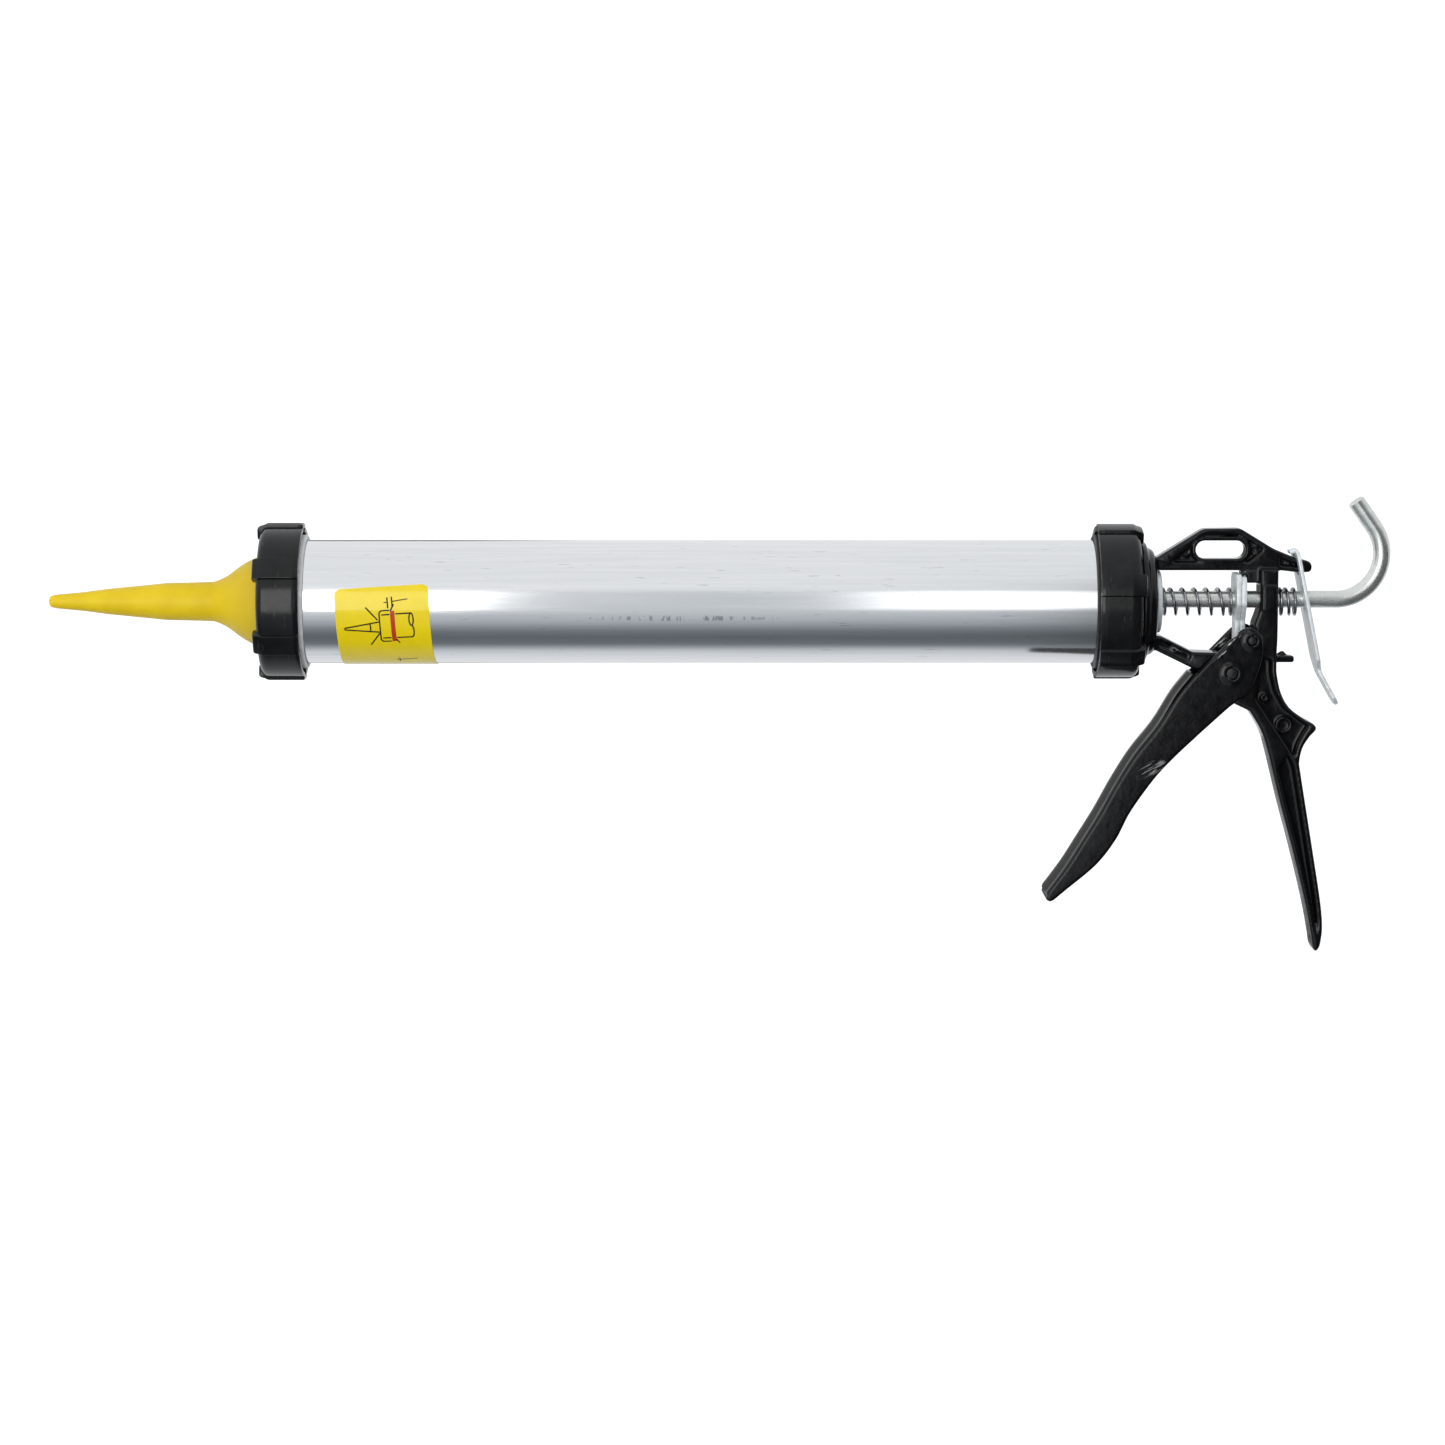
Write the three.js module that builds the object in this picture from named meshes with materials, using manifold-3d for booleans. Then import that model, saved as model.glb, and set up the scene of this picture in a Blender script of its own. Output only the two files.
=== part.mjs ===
// A hand-operated caulking gun with a closed barrel for foil packs, in millimetres.
// The origin is the tip of the nozzle, on the barrel's axis. +X runs back along that axis to the hook of
// the rod, +Z is up, and the trigger and the grip hang down. The XZ plane is the plane of symmetry.
import * as THREE from "three";
import { mergeVertices } from "three/addons/utils/BufferGeometryUtils.js";
import Module from "manifold-3d";

// ---- Driving dimensions ----

const gap = 0.3; // between pieces that touch on the real gun
const roundSides = 48; // sides of the caps, the collars and other wide turned pieces
const smallSides = 20; // sides of pins, holes and washers

const tube = { radius: 26.5, wall: 1.4, front: 97.3, rear: 463.4, sides: 64 };
const collar = { inside: 26.8, outside: 28.8, length: 14, chamfer: 1, proud: 1.2 };
const label = {
  inside: 26.62,
  outside: 26.82,
  front: 125,
  width: 39.9,
  topAngle: 16,
  wrap: 120,
  skew: 0.05,
};

const cap = {
  depth: 18.1, // from the mouth to the outside of the end wall
  endWall: 2.3,
  outside: 32.6,
  inside: 30.2, // at the mouth
  mouthDepth: 3,
  thread: 29.15, // over the threads
  corner: 3, // chamfer between the side and the end wall
  ribs: 6,
  ribOutside: 33.85,
  ribInside: 31.4,
  ribFoot: 27,
  ribAngle: 17,
  ribReach: 1.6, // how far a rib stands past the end wall
};
const frontCap = { mouth: 110.1, opening: 20.4, phase: 29.7 };
const rearCap = { mouth: 450.6, opening: 10.4, phase: 163.4 };

const nozzle = { flange: 25.2, flangeFront: 94.5, flangeRear: 97, boreEnd: 6, sides: 28 };

const rod = {
  radius: 3.75,
  rise: 1, // the rod lies this far above the barrel's axis, against the top of its holes
  front: 101.5,
  bendStart: 554.2,
  bendRadius: 19.7,
  bendAngle: 125,
  tail: 14.2,
};
const rodHole = 4.1; // in the frame casting
const piston = { front: 103, nutLength: 6, nutAcross: 13, bore: 4.1, washer: 12, cup: 21.2, plate: 18.8 };

const spigot = { radius: 10, front: 457.2, bore: 10.35 };
const flange = { front: 469.1, rear: 475.9 };
const retainingNut = { front: 457.8, length: 6, across: 30 };
const capWasher = { front: 464.1, length: 2, radius: 17.5 };
const springSeat = { front: 476.3, length: 2.2, radius: 13.4 };

const web = { half: 5, panel: 2.4, bottom: 13.7 };
const slot = { x: 504, z: 22.6, length: 21.4, radius: 3.9, rim: 1.9 };
const post = { front: 520.8, rear: 528.7, half: 8 };
const grip = { half: 8, panel: 2.4, rib: 6 };
const tooth = { front: 515.1, bottom: 8.3, armFront: 512.9, armBottom: 10.4 };

const pivot = { x: 508.4, z: -30, pin: 2.5, hole: 2.8, boss: 6.6 };
const thrust = { x: 517, z: -15.9, pin: 1.9, hole: 2.2 };
const pinHalf = 13.5; // half length of both pins
const trigger = { half: 14, cheek: 2.8, spine: 2.8, bulge: 0.8 };
const bossHalf = 10.9; // half width of the casting at the pivot

const plate = { thickness: 2.05, half: 11, tailHalf: 5.5, bottom: -19.8, hole: 5.9 };
const plateRear = 514.8; // rear face of the rear drive plate
const driveSpring = { front: 478.9, rear: 510, radius: 5.6, wire: 0.65, turns: 7 };
const releaseSpring = { front: 529.1, rear: 537.6, radius: 5.6, wire: 0.65, turns: 3 };

const release = {
  x: 536,
  z: 20.3, // where the plate hangs on the casting's tail
  tilt: 11.4,
  thickness: 1.6,
  half: 11,
  length: 50,
  top: 2.4,
  windowHalf: 5.8,
  windowDepth: 8.6,
  tabLength: 18,
  tabHalf: 7,
  bend: 18,
  holeHalf: 6,
  holeHeight: 12.6,
};

// ---- Helpers: three.js geometries, and joins and cuts on closed solids ----

const wasm = await Module();
wasm.setup();

const radians = THREE.MathUtils.degToRad;

function solidFrom(positions, triangles) {
  const vertProperties = new Float32Array(positions);
  const triVerts = new Uint32Array(triangles);
  return new wasm.Manifold(new wasm.Mesh({ numProp: 3, vertProperties, triVerts }));
}

// A closed solid from a geometry, with its faces turned outwards.
function solid(geometry) {
  const bare = geometry.index ? geometry.toNonIndexed() : geometry.clone();
  Object.keys(bare.attributes)
    .filter((name) => name !== "position")
    .forEach((name) => bare.deleteAttribute(name));
  const merged = mergeVertices(bare, 1e-4);
  const index = merged.index.array;
  const triangles = [];
  for (let i = 0; i < index.length; i += 3) {
    const [a, b, c] = [index[i], index[i + 1], index[i + 2]];
    if (a !== b && b !== c && c !== a) triangles.push(a, b, c);
  }
  const made = solidFrom(merged.attributes.position.array, triangles);
  return made.volume() < 0 ? solidFrom(merged.attributes.position.array, triangles.reverse()) : made;
}

const join = (first, ...others) => others.reduce((sum, other) => sum.add(other), first);
const cut = (first, ...others) => others.reduce((rest, other) => rest.subtract(other), first);

// Turned about the barrel's axis. A profile lists [x, radius] and starts and ends on the axis.
function turned(profile, sides = roundSides) {
  const points = profile.map(([x, radius]) => new THREE.Vector2(radius, x));
  return solid(new THREE.LatheGeometry(points, sides).rotateZ(-Math.PI / 2));
}

// The same for a profile that stays off the axis and closes on itself.
const ring = (profile, sides = roundSides) => turned([...profile, profile[0]], sides);

const tubeAlongX = (front, rear, inside, outside, sides = roundSides) =>
  ring([[front, inside], [rear, inside], [rear, outside], [front, outside]], sides);

const rodAlongX = (front, rear, radius, sides = smallSides) =>
  turned([[front, 0], [front, radius], [rear, radius], [rear, 0]], sides);

// A hole for the rod, at the rod's own height.
const holeForRod = (front, rear, radius) => rodAlongX(front, rear, radius).translate([0, 0, rod.rise]);

const vectors = (points) => points.map(([a, b]) => new THREE.Vector2(a, b));
const shapeOf = (outline) => (outline instanceof THREE.Shape ? outline : new THREE.Shape(vectors(outline)));

// An outline in the XZ plane, extruded along Y.
function slabAcross(outline, low, high, curveSegments = 6) {
  const options = { depth: high - low, bevelEnabled: false, curveSegments };
  const geometry = new THREE.ExtrudeGeometry(shapeOf(outline), options).rotateX(Math.PI / 2);
  return solid(geometry.translate(0, high, 0));
}

const slabCentred = (outline, half, curveSegments) => slabAcross(outline, -half, half, curveSegments);

// The same cut taken into both sides, which leaves a panel in the middle.
const pocketsBeside = (outline, panel, half) =>
  join(slabAcross(outline, panel, half + 1), slabAcross(outline, -half - 1, -panel));

// An outline in the YZ plane, extruded along X.
function slabAlong(outline, front, rear, curveSegments = 6) {
  const options = { depth: rear - front, bevelEnabled: false, curveSegments };
  const turn = new THREE.Matrix4().makeBasis(
    new THREE.Vector3(0, 1, 0),
    new THREE.Vector3(0, 0, 1),
    new THREE.Vector3(1, 0, 0),
  );
  const geometry = new THREE.ExtrudeGeometry(shapeOf(outline), options).applyMatrix4(turn);
  return solid(geometry.translate(front, 0, 0));
}

const pinAcross = (x, z, radius, half, sides = smallSides) =>
  solid(new THREE.CylinderGeometry(radius, radius, 2 * half, sides).translate(x, 0, z));

function hexNut(front, length, across, bore) {
  const corner = across / Math.sqrt(3);
  const blank = new THREE.CylinderGeometry(corner, corner, length, 6).rotateZ(Math.PI / 2);
  blank.translate(front + length / 2, 0, 0);
  return cut(solid(blank), rodAlongX(front - 1, front + length + 1, bore));
}

function roundedSlot(x, z, length, radius) {
  const reach = length / 2 - radius;
  const shape = new THREE.Shape();
  shape.moveTo(x - reach, z - radius);
  shape.lineTo(x + reach, z - radius);
  shape.absarc(x + reach, z, radius, -Math.PI / 2, Math.PI / 2);
  shape.lineTo(x - reach, z + radius);
  shape.absarc(x - reach, z, radius, Math.PI / 2, (3 * Math.PI) / 2);
  return shape;
}

// A skin over a row of rings that have the same number of points. Each end is closed by a strip between the
// ring's first half and its second half, so a ring may be a thin bent band.
function lofted(rings) {
  const count = rings[0].length;
  const positions = rings.flat().flatMap((point) => [point.x, point.y, point.z]);
  const triangles = [];
  for (let i = 0; i + 1 < rings.length; i++) {
    for (let j = 0; j < count; j++) {
      const a = i * count + j;
      const b = i * count + ((j + 1) % count);
      triangles.push(a, b, b + count, a, b + count, a + count);
    }
  }
  const last = (rings.length - 1) * count;
  for (let j = 0; j < count / 2 - 1; j++) {
    const mate = count - 1 - j;
    triangles.push(j, mate, j + 1, j + 1, mate, mate - 1);
    triangles.push(last + j, last + j + 1, last + mate, last + j + 1, last + mate - 1, last + mate);
  }
  const made = solidFrom(positions, triangles);
  return made.volume() < 0 ? solidFrom(positions, triangles.reverse()) : made;
}

class Helix extends THREE.Curve {
  constructor(spring) {
    super();
    this.spring = spring;
  }
  getPoint(t) {
    const { front, rear, radius, wire, turns } = this.spring;
    const angle = 2 * Math.PI * turns * t;
    const x = THREE.MathUtils.lerp(front + wire, rear - wire, t);
    return new THREE.Vector3(x, radius * Math.cos(angle), radius * Math.sin(angle));
  }
}

function wireAlong(path, radius, sides, steps) {
  const section = new THREE.Shape();
  section.absarc(0, 0, radius, 0, 2 * Math.PI);
  const sectionPoints = section.getPoints(sides).slice(0, sides);
  const options = { steps, extrudePath: path, bevelEnabled: false };
  return solid(new THREE.ExtrudeGeometry(new THREE.Shape(sectionPoints), options));
}

// ---- Barrel, collars and label ----

const barrelTube = () => tubeAlongX(tube.front, tube.rear, tube.radius - tube.wall, tube.radius, tube.sides);

// The outer end of a collar is chamfered: the rear end of the front one, the front end of the rear one.
function threadCollar(inner, outer) {
  const step = Math.sign(outer - inner) * collar.chamfer;
  return ring([
    [inner, collar.inside],
    [outer, collar.inside],
    [outer, collar.outside - collar.chamfer],
    [outer - step, collar.outside],
    [inner, collar.outside],
  ]);
}

function barrelLabel() {
  const steps = 24;
  const rings = [];
  for (let i = 0; i <= steps; i++) {
    const angle = radians(label.topAngle - (label.wrap * i) / steps);
    const shift = label.skew * label.inside * radians((label.wrap * i) / steps);
    const corner = (x, radius) => new THREE.Vector3(x, -radius * Math.cos(angle), radius * Math.sin(angle));
    const [front, rear] = [label.front + shift, label.front + label.width + shift];
    rings.push([
      corner(front, label.inside),
      corner(rear, label.inside),
      corner(rear, label.outside),
      corner(front, label.outside),
    ]);
  }
  return lofted(rings);
}

// ---- Screw caps ----

// The outline of a ribbed wall about the X axis: wide at the ribs, narrow between them.
function ribbedCircle(between, atRibs, ribAngle, phase) {
  const shape = new THREE.Shape();
  const pitch = 360 / cap.ribs;
  for (let i = 0; i < cap.ribs; i++) {
    const middle = phase + pitch * i;
    shape.absarc(0, 0, atRibs, radians(middle - ribAngle / 2), radians(middle + ribAngle / 2));
    shape.absarc(0, 0, between, radians(middle + ribAngle / 2), radians(middle + pitch - ribAngle / 2));
  }
  return shape;
}

// The end of one rib, which stands past the end wall.
function ribEnd(angle) {
  const shape = new THREE.Shape();
  const [low, high] = [radians(angle - cap.ribAngle / 2), radians(angle + cap.ribAngle / 2)];
  shape.absarc(0, 0, cap.ribOutside - 1.4, low, high);
  shape.absarc(0, 0, cap.ribFoot, high, low, true);
  return slabAlong(shape, cap.depth - 1, cap.depth + cap.ribReach, 3);
}

// A cap with its mouth at x = 0 and its end wall at x = cap.depth. The ribs are hollow behind.
function capSolid(opening, phase) {
  const wallFront = cap.depth - cap.endWall;
  const wall = slabAlong(ribbedCircle(cap.outside, cap.ribOutside, cap.ribAngle, phase), 0, cap.depth, 4);
  const innerRibs = (radius) => ribbedCircle(radius, cap.ribInside, cap.ribAngle - 5, phase);
  const hollow = slabAlong(innerRibs(cap.thread), -1, wallFront, 4);
  const corner = ring(
    [
      [cap.depth - cap.corner, cap.ribOutside + 0.3],
      [cap.depth + 1, cap.ribOutside + 4],
      [cap.depth + 1, cap.outside - 3.2],
      [cap.depth - 0.8, cap.outside - 1.2],
    ],
    36,
  );
  const ends = Array.from({ length: cap.ribs }, (_, i) => ribEnd(phase + (360 / cap.ribs) * i));
  const mouth = slabAlong(innerRibs(cap.inside), -1, cap.mouthDepth, 4);
  const shell = cut(join(cut(wall, corner), ...ends), hollow, mouth);
  return cut(shell, rodAlongX(wallFront - 1, cap.depth + 1, opening, 36));
}

// ---- Nozzle ----

function nozzleSolid() {
  const { flange, flangeFront, flangeRear, boreEnd } = nozzle;
  const tip = [[0, 0], [0, 1.2], [0.5, 2.1], [1.8, 2.7], [4.5, 3.1]];
  const cone = [[15, 4.1], [25, 5.4], [36, 6.5], [46, 7.5], [51, 7.95], [61, 8.2], [69, 8.45], [72, 8.85]];
  const flare = [[77, 11], [82, 14.9], [86.4, 17.6], [91.8, 19.9]];
  const root = [[flangeFront, 20.1], [flangeFront, flange], [flangeRear, flange]];
  const hollowFlare = [[flangeRear, 18.7], [91.8, 18.3], [86.4, 16], [82, 13.4], [77, 9.5], [72, 7.4]];
  const hollowCone = [[51, 6.6], [25, 4], [boreEnd, 1.9], [boreEnd, 0]];
  return turned([...tip, ...cone, ...flare, ...root, ...hollowFlare, ...hollowCone], nozzle.sides);
}

// ---- Rod and piston ----

class HookPath extends THREE.Curve {
  getPoint(t) {
    const lead = 6;
    const arc = rod.bendRadius * radians(rod.bendAngle);
    const travel = t * (lead + arc + rod.tail) - lead;
    const turn = Math.min(Math.max(travel, 0), arc) / rod.bendRadius;
    const before = Math.min(travel, 0);
    const after = Math.max(travel - arc, 0);
    const x = rod.bendStart + before + rod.bendRadius * Math.sin(turn) + after * Math.cos(turn);
    const z = rod.bendRadius * (1 - Math.cos(turn)) + after * Math.sin(turn);
    return new THREE.Vector3(x, 0, z);
  }
}

function pistonRod() {
  const sides = 16;
  const { front, radius, bendStart } = rod;
  const chamfered = [[front, 0], [front, radius - 0.8], [front + 0.9, radius]];
  const straight = turned([...chamfered, [bendStart - 1, radius], [bendStart - 1, 0]], sides);
  return join(straight, wireAlong(new HookPath(), rod.radius - 0.02, sides, 28));
}

const pistonFrontNut = () => hexNut(piston.front, piston.nutLength, piston.nutAcross, piston.bore);
const washerFront = piston.front + piston.nutLength + gap;
const washerRear = washerFront + 2;
const pistonFrontWasher = () => tubeAlongX(washerFront, washerRear, piston.bore, piston.washer, smallSides);
const cupFront = washerRear + gap;

function pistonCup() {
  const floor = cupFront + 5;
  const skirt = cupFront + 13;
  return ring([
    [cupFront, piston.bore],
    [floor, piston.bore],
    [floor, piston.plate + 0.6],
    [skirt, piston.cup - 1.2],
    [skirt, piston.cup],
    [cupFront + 1.2, piston.cup - 0.2],
    [cupFront, piston.cup - 1.4],
  ]);
}

const backingFront = cupFront + 5 + gap;
const pistonBackingPlate = () => tubeAlongX(backingFront, backingFront + 2.5, piston.bore, piston.plate, 32);
const pistonRearNut = () => hexNut(backingFront + 2.5 + gap, piston.nutLength, piston.nutAcross, piston.bore);

// ---- Frame casting and what is fastened to it ----

// Hollow spigot for the rear cap, then the flange in two rounded steps.
function castingFlange() {
  const spigotBore = rodHole - rod.rise - 0.6; // the rod's own hole, cut later, takes this bore in
  return ring([
    [spigot.front, spigotBore],
    [spigot.front, spigot.radius - 1],
    [spigot.front + 1, spigot.radius],
    [flange.front, spigot.radius],
    [flange.front, 25.8],
    [flange.front + 2.3, 25.8],
    [flange.front + 3, 25.1],
    [flange.front + 3.2, 23.4],
    [flange.front + 5, 22.8],
    [flange.front + 6.3, 21.4],
    [flange.rear, 19.9],
    [flange.rear, spigotBore],
  ]);
}

function castingWeb() {
  const front = [[474.5, 14.2], [474.5, 18], [476.8, 19.4]];
  const top = [[496.4, 31.6], [512.4, 31.8], [526.8, 23], [535.2, 19.5]];
  const tail = [[537.5, 18.6], [541.5, 17.9], [543, 16.8], [543.4, 14.9], [542.6, 12.9], [536.5, 12.9]];
  const outline = [...front, ...top, ...tail, [530, web.bottom], [475.9, web.bottom]];
  const pocket = [[482.5, 17.2], [496.9, 29.3], [511.7, 29.5], [522.4, 22.9], [515.6, 17.2]];
  const tailPocket = [[529.6, 15.8], [529.6, 19.4], [534.6, 17.2], [538.6, 16.2], [538.6, 15.2]];
  const { x, z, length, radius, rim } = slot;
  const slotRim = slabCentred(roundedSlot(x, z, length + 2 * rim, radius + rim), web.half);
  const bar = slabCentred(outline, web.half);
  const pockets = [pocket, tailPocket].map((shape) => pocketsBeside(shape, web.panel, web.half));
  const recessed = cut(bar, ...pockets);
  const marks = [[489.2, 21.6], [518.2, 22.4]].map(([a, b]) => pinAcross(a, b, 1.7, web.panel + 0.7, 12));
  return cut(join(recessed, slotRim, ...marks), slabCentred(roundedSlot(x, z, length, radius), web.half + 1));
}

function castingPost() {
  const { front, rear, half } = post;
  const columnSide = [[front, -24], [rear - 0.6, -24], [rear, -12], [rear, 14.5], [front, 14.5]];
  const column = slabCentred(columnSide, half);
  const pad = slabCentred([[521.8, -3.6], [527.8, -3.6], [527.8, 7.4], [521.8, 7.4]], half + 0.7);
  const toothBlock = slabCentred(
    [
      [tooth.front, tooth.bottom],
      [521, tooth.bottom],
      [521, web.bottom + 0.5],
      [tooth.armFront, web.bottom + 0.5],
      [tooth.armFront, tooth.armBottom],
      [tooth.front, tooth.armBottom],
    ],
    web.half,
  );
  return join(column, pad, toothBlock);
}

const splineThrough = (shape, points) => shape.splineThru(vectors(points));

// Strut, pivot body and grip are one outline. The grip's rear edge swells into a horn under the hand.
function gripOutline() {
  const shape = new THREE.Shape();
  shape.moveTo(post.front, -14);
  shape.lineTo(post.rear, -14);
  shape.lineTo(528.3, -24);
  splineThrough(shape, [[528.4, -30.1], [530.2, -38.4], [533.9, -45.1], [540.2, -50], [544.4, -52.2]]);
  shape.lineTo(545.7, -53.7);
  shape.lineTo(545.3, -55.3);
  splineThrough(shape, [
    [543.3, -57.5], [540.2, -62.4], [538.8, -68.6], [539.5, -74.5],
    [545.1, -107.6], [548.7, -129.6], [549.7, -140.5],
  ]);
  shape.lineTo(549, -147.6);
  shape.lineTo(547.9, -150.9);
  shape.lineTo(546.8, -151.4);
  shape.lineTo(545.7, -150.2);
  splineThrough(shape, [
    [544.9, -145.1], [542, -130.3], [536.5, -108.2], [530.5, -86.3],
    [525, -64.4], [522, -55.3], [517, -46.8],
  ]);
  const strutBelow = [[508.5, -42.8], [503, -38.2], [499.9, -32.1], [489.4, -27], [475, -20]];
  const strutAbove = [[475, -14.2], [478.6, -14.4], [492.2, -21.2], [501.7, -21.5], [517.5, -21.5]];
  [...strutBelow, ...strutAbove, [post.front, -18.5]].forEach(([x, z]) => shape.lineTo(x, z));
  return shape;
}

function castingGrip() {
  const lowerPocket = [
    [533.7, -65.6], [536.2, -70.7], [542.5, -107], [546.2, -129], [547.3, -138.7],
    [546.9, -142.7], [544.3, -129.5], [539.1, -107.4], [533.2, -85.5], [529.6, -71.7],
  ];
  const upperPocket = [
    [519.6, -41.4], [521.8, -24.3], [526, -24.3], [525.9, -30.3], [527.8, -38.2], [531.8, -45.5],
    [538.6, -50.8], [542.4, -53.1], [540.4, -56], [537.8, -61], [536.4, -66.6],
  ];
  const rib = [[514.2, -41.6], [516.1, -40.4], [534.9, -65], [533.4, -66.4]];
  const strutPanel = [[478.5, -15.4], [491.5, -22.2], [490.3, -25], [477.6, -18.6]];
  const strutMark = pinAcross(484.6, -20, 1.4, grip.half - 0.4, 12);
  const bar = slabCentred(gripOutline(), grip.half, 2);
  const pockets = [lowerPocket, upperPocket].map((outline) => pocketsBeside(outline, grip.panel, grip.half));
  const pads = pocketsBeside(strutPanel, grip.half - 1, grip.half);
  const markRing = (radius, half) => pinAcross(532.4, -53.2, radius, half);
  const ringMark = cut(markRing(3.5, grip.panel + 1), markRing(2.7, grip.half + 1));
  const ringPanel = markRing(3, grip.panel - 0.2);
  const boss = pinAcross(pivot.x, pivot.z, pivot.boss, bossHalf, 28);
  return join(cut(bar, ...pockets, pads), slabCentred(rib, grip.rib), strutMark, ringMark, ringPanel, boss);
}

// The peg behind the post stops the release plate, with a small gusset on top.
function releaseStop() {
  const pegSide = [[527, -26], [536, -26], [536.4, -25], [536.2, -23.4], [535.4, -23.1], [527, -23.1]];
  const peg = slabCentred(pegSide, 4);
  const gusset = slabCentred([[527, -24], [534.4, -24], [532, -21.3], [531.2, -21.3], [528.4, -23]], 1.4);
  return join(peg, gusset);
}

function frameCasting() {
  const body = join(castingFlange(), castingWeb(), castingPost(), castingGrip(), releaseStop());
  const rodBore = holeForRod(spigot.front - 1, post.rear + 2, rodHole);
  return cut(body, rodBore, pinAcross(pivot.x, pivot.z, pivot.hole, bossHalf + 1));
}

function capRetainingNut() {
  const { front, length, across } = retainingNut;
  return hexNut(front, length, across, spigot.bore);
}

function capWasherSolid() {
  const { front, length, radius } = capWasher;
  return tubeAlongX(front, front + length, spigot.bore, radius, 32);
}

function springSeatWasher() {
  const { front, length, radius } = springSeat;
  const rear = front + length;
  return cut(rodAlongX(front, rear, radius, 32), holeForRod(front - 1, rear + 1, rodHole));
}

const spring = (dimensions) =>
  wireAlong(new Helix(dimensions), dimensions.wire, 6, Math.round(dimensions.turns * 14));

// ---- Drive plates ----

function drivePlate(rear, top) {
  const { half, tailHalf, bottom, thickness } = plate;
  const right = [[tailHalf, bottom], [tailHalf, -7.5], [half, -0.7], [half, top - 3], [half - 2.6, top]];
  const left = right.map(([y, z]) => [-y, z]).reverse();
  const blank = slabAlong([...right, ...left], rear - thickness, rear);
  return cut(blank, holeForRod(rear - thickness - 1, rear + 1, plate.hole));
}

// ---- Trigger and its pins ----

// Each station is a place down the trigger: where its cheeks start at the front, and where they end.
const triggerStations = [
  { front: [492, -30.3], rear: [508.6, -43.6] },
  { front: [485, -39.1], rear: [501.6, -49.8] },
  { front: [477, -52.2], rear: [492.7, -58] },
  { front: [467.1, -64.9], rear: [483.2, -67.1] },
  { front: [459.1, -77.7], rear: [475.2, -76] },
  { front: [451.8, -91], rear: [465.5, -89.8] },
  { front: [444.1, -103.6], rear: [459.4, -101.7] },
  { front: [437.4, -114.3], rear: [451, -112.7] },
  { front: [429.6, -124.9], rear: [438.4, -123.4] },
];
const triggerTip = [[432.7, -128.2], [431.1, -128.8], [429.4, -127.8]];

// The front wall joins the cheeks and bulges a little between them.
function triggerSpine() {
  const across = 8;
  const rings = triggerStations.map(({ front, rear }) => {
    const inward = new THREE.Vector2(rear[0] - front[0], rear[1] - front[1]).normalize();
    const rim = [];
    for (let i = 0; i <= across; i++) {
      const side = (2 * i) / across - 1;
      const bulge = inward.clone().multiplyScalar(trigger.bulge * (1 - side ** 2));
      rim.push(new THREE.Vector3(front[0] - bulge.x, side * trigger.half, front[1] - bulge.y));
    }
    const wall = inward.multiplyScalar(trigger.spine);
    const inner = rim.map((point) => new THREE.Vector3(point.x + wall.x, point.y, point.z + wall.y));
    return [...rim, ...inner.reverse()];
  });
  return lofted(rings);
}

function triggerCheeks() {
  const headTop = [[510.4, -12.6], [513.2, -10.8], [516.2, -10.3], [519.2, -11.4], [521.1, -14.4]];
  const headRear = [[521.6, -18.9], [521.2, -24.2], [519.4, -30.1], [517.1, -35.7], [514.1, -40.1]];
  const rear = triggerStations.map((station) => station.rear);
  const front = triggerStations.map((station) => station.front).reverse();
  const outline = [...headTop, ...headRear, ...rear, ...triggerTip, ...front];
  const { half, cheek } = trigger;
  return join(slabAcross(outline, half - cheek, half), slabAcross(outline, -half, cheek - half));
}

function triggerSolid() {
  const end = slabCentred([[429.8, -124.6], [434, -120], [438.2, -123.2], ...triggerTip], trigger.half - 1);
  const body = join(triggerCheeks(), triggerSpine(), end);
  return cut(
    body,
    pinAcross(pivot.x, pivot.z, pivot.hole, trigger.half + 1),
    pinAcross(thrust.x, thrust.z, thrust.hole, trigger.half + 1),
  );
}

// ---- Release plate ----

// The plate hangs down from its own origin, then tilts back about it. The tail of the casting goes through
// the window, the rod through the round hole, and the thumb tab is bent further back.
function releasePlate() {
  const { thickness, half, length, top, windowHalf, windowDepth, holeHalf, holeHeight } = release;
  const { tabHalf, tabLength, tilt, bend } = release;
  const rodLevel = (rod.rise - release.z) / Math.cos(radians(tilt));
  const shoulder = [[half, -length + 4], [half - 4, -length], [tabHalf, -length - 1]];
  const right = [[5, top], [half - 2, top - 1], [half, top - 4], ...shoulder];
  const left = right.map(([y, z]) => [-y, z]).reverse();
  const blank = slabAlong([...right, ...left], 0, thickness);
  const window = slabAlong(
    [[windowHalf, -windowDepth], [windowHalf, 0], [-windowHalf, 0], [-windowHalf, -windowDepth]],
    -1,
    thickness + 1,
  );
  const hole = new THREE.Shape();
  hole.absellipse(0, rodLevel, holeHalf, holeHeight / 2, 0, 2 * Math.PI);
  const lip = slabAlong([[4, top - thickness], [4, top], [-4, top], [-4, top - thickness]], -2, 1);
  const tabRight = [[tabHalf, 0.6], [tabHalf, 3 - tabLength], [tabHalf - 3, -tabLength]];
  const tabLeft = tabRight.map(([y, z]) => [-y, z]).reverse();
  const tab = slabAlong([...tabRight, ...tabLeft], 0, thickness)
    .rotate([0, -bend, 0])
    .translate([0, 0, -length - 0.4]);
  return join(cut(blank, window, slabAlong(hole, -1, thickness + 1)), lip, tab)
    .rotate([0, -tilt, 0])
    .translate([release.x, 0, release.z]);
}

// ---- Materials and the assembled gun ----

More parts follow.
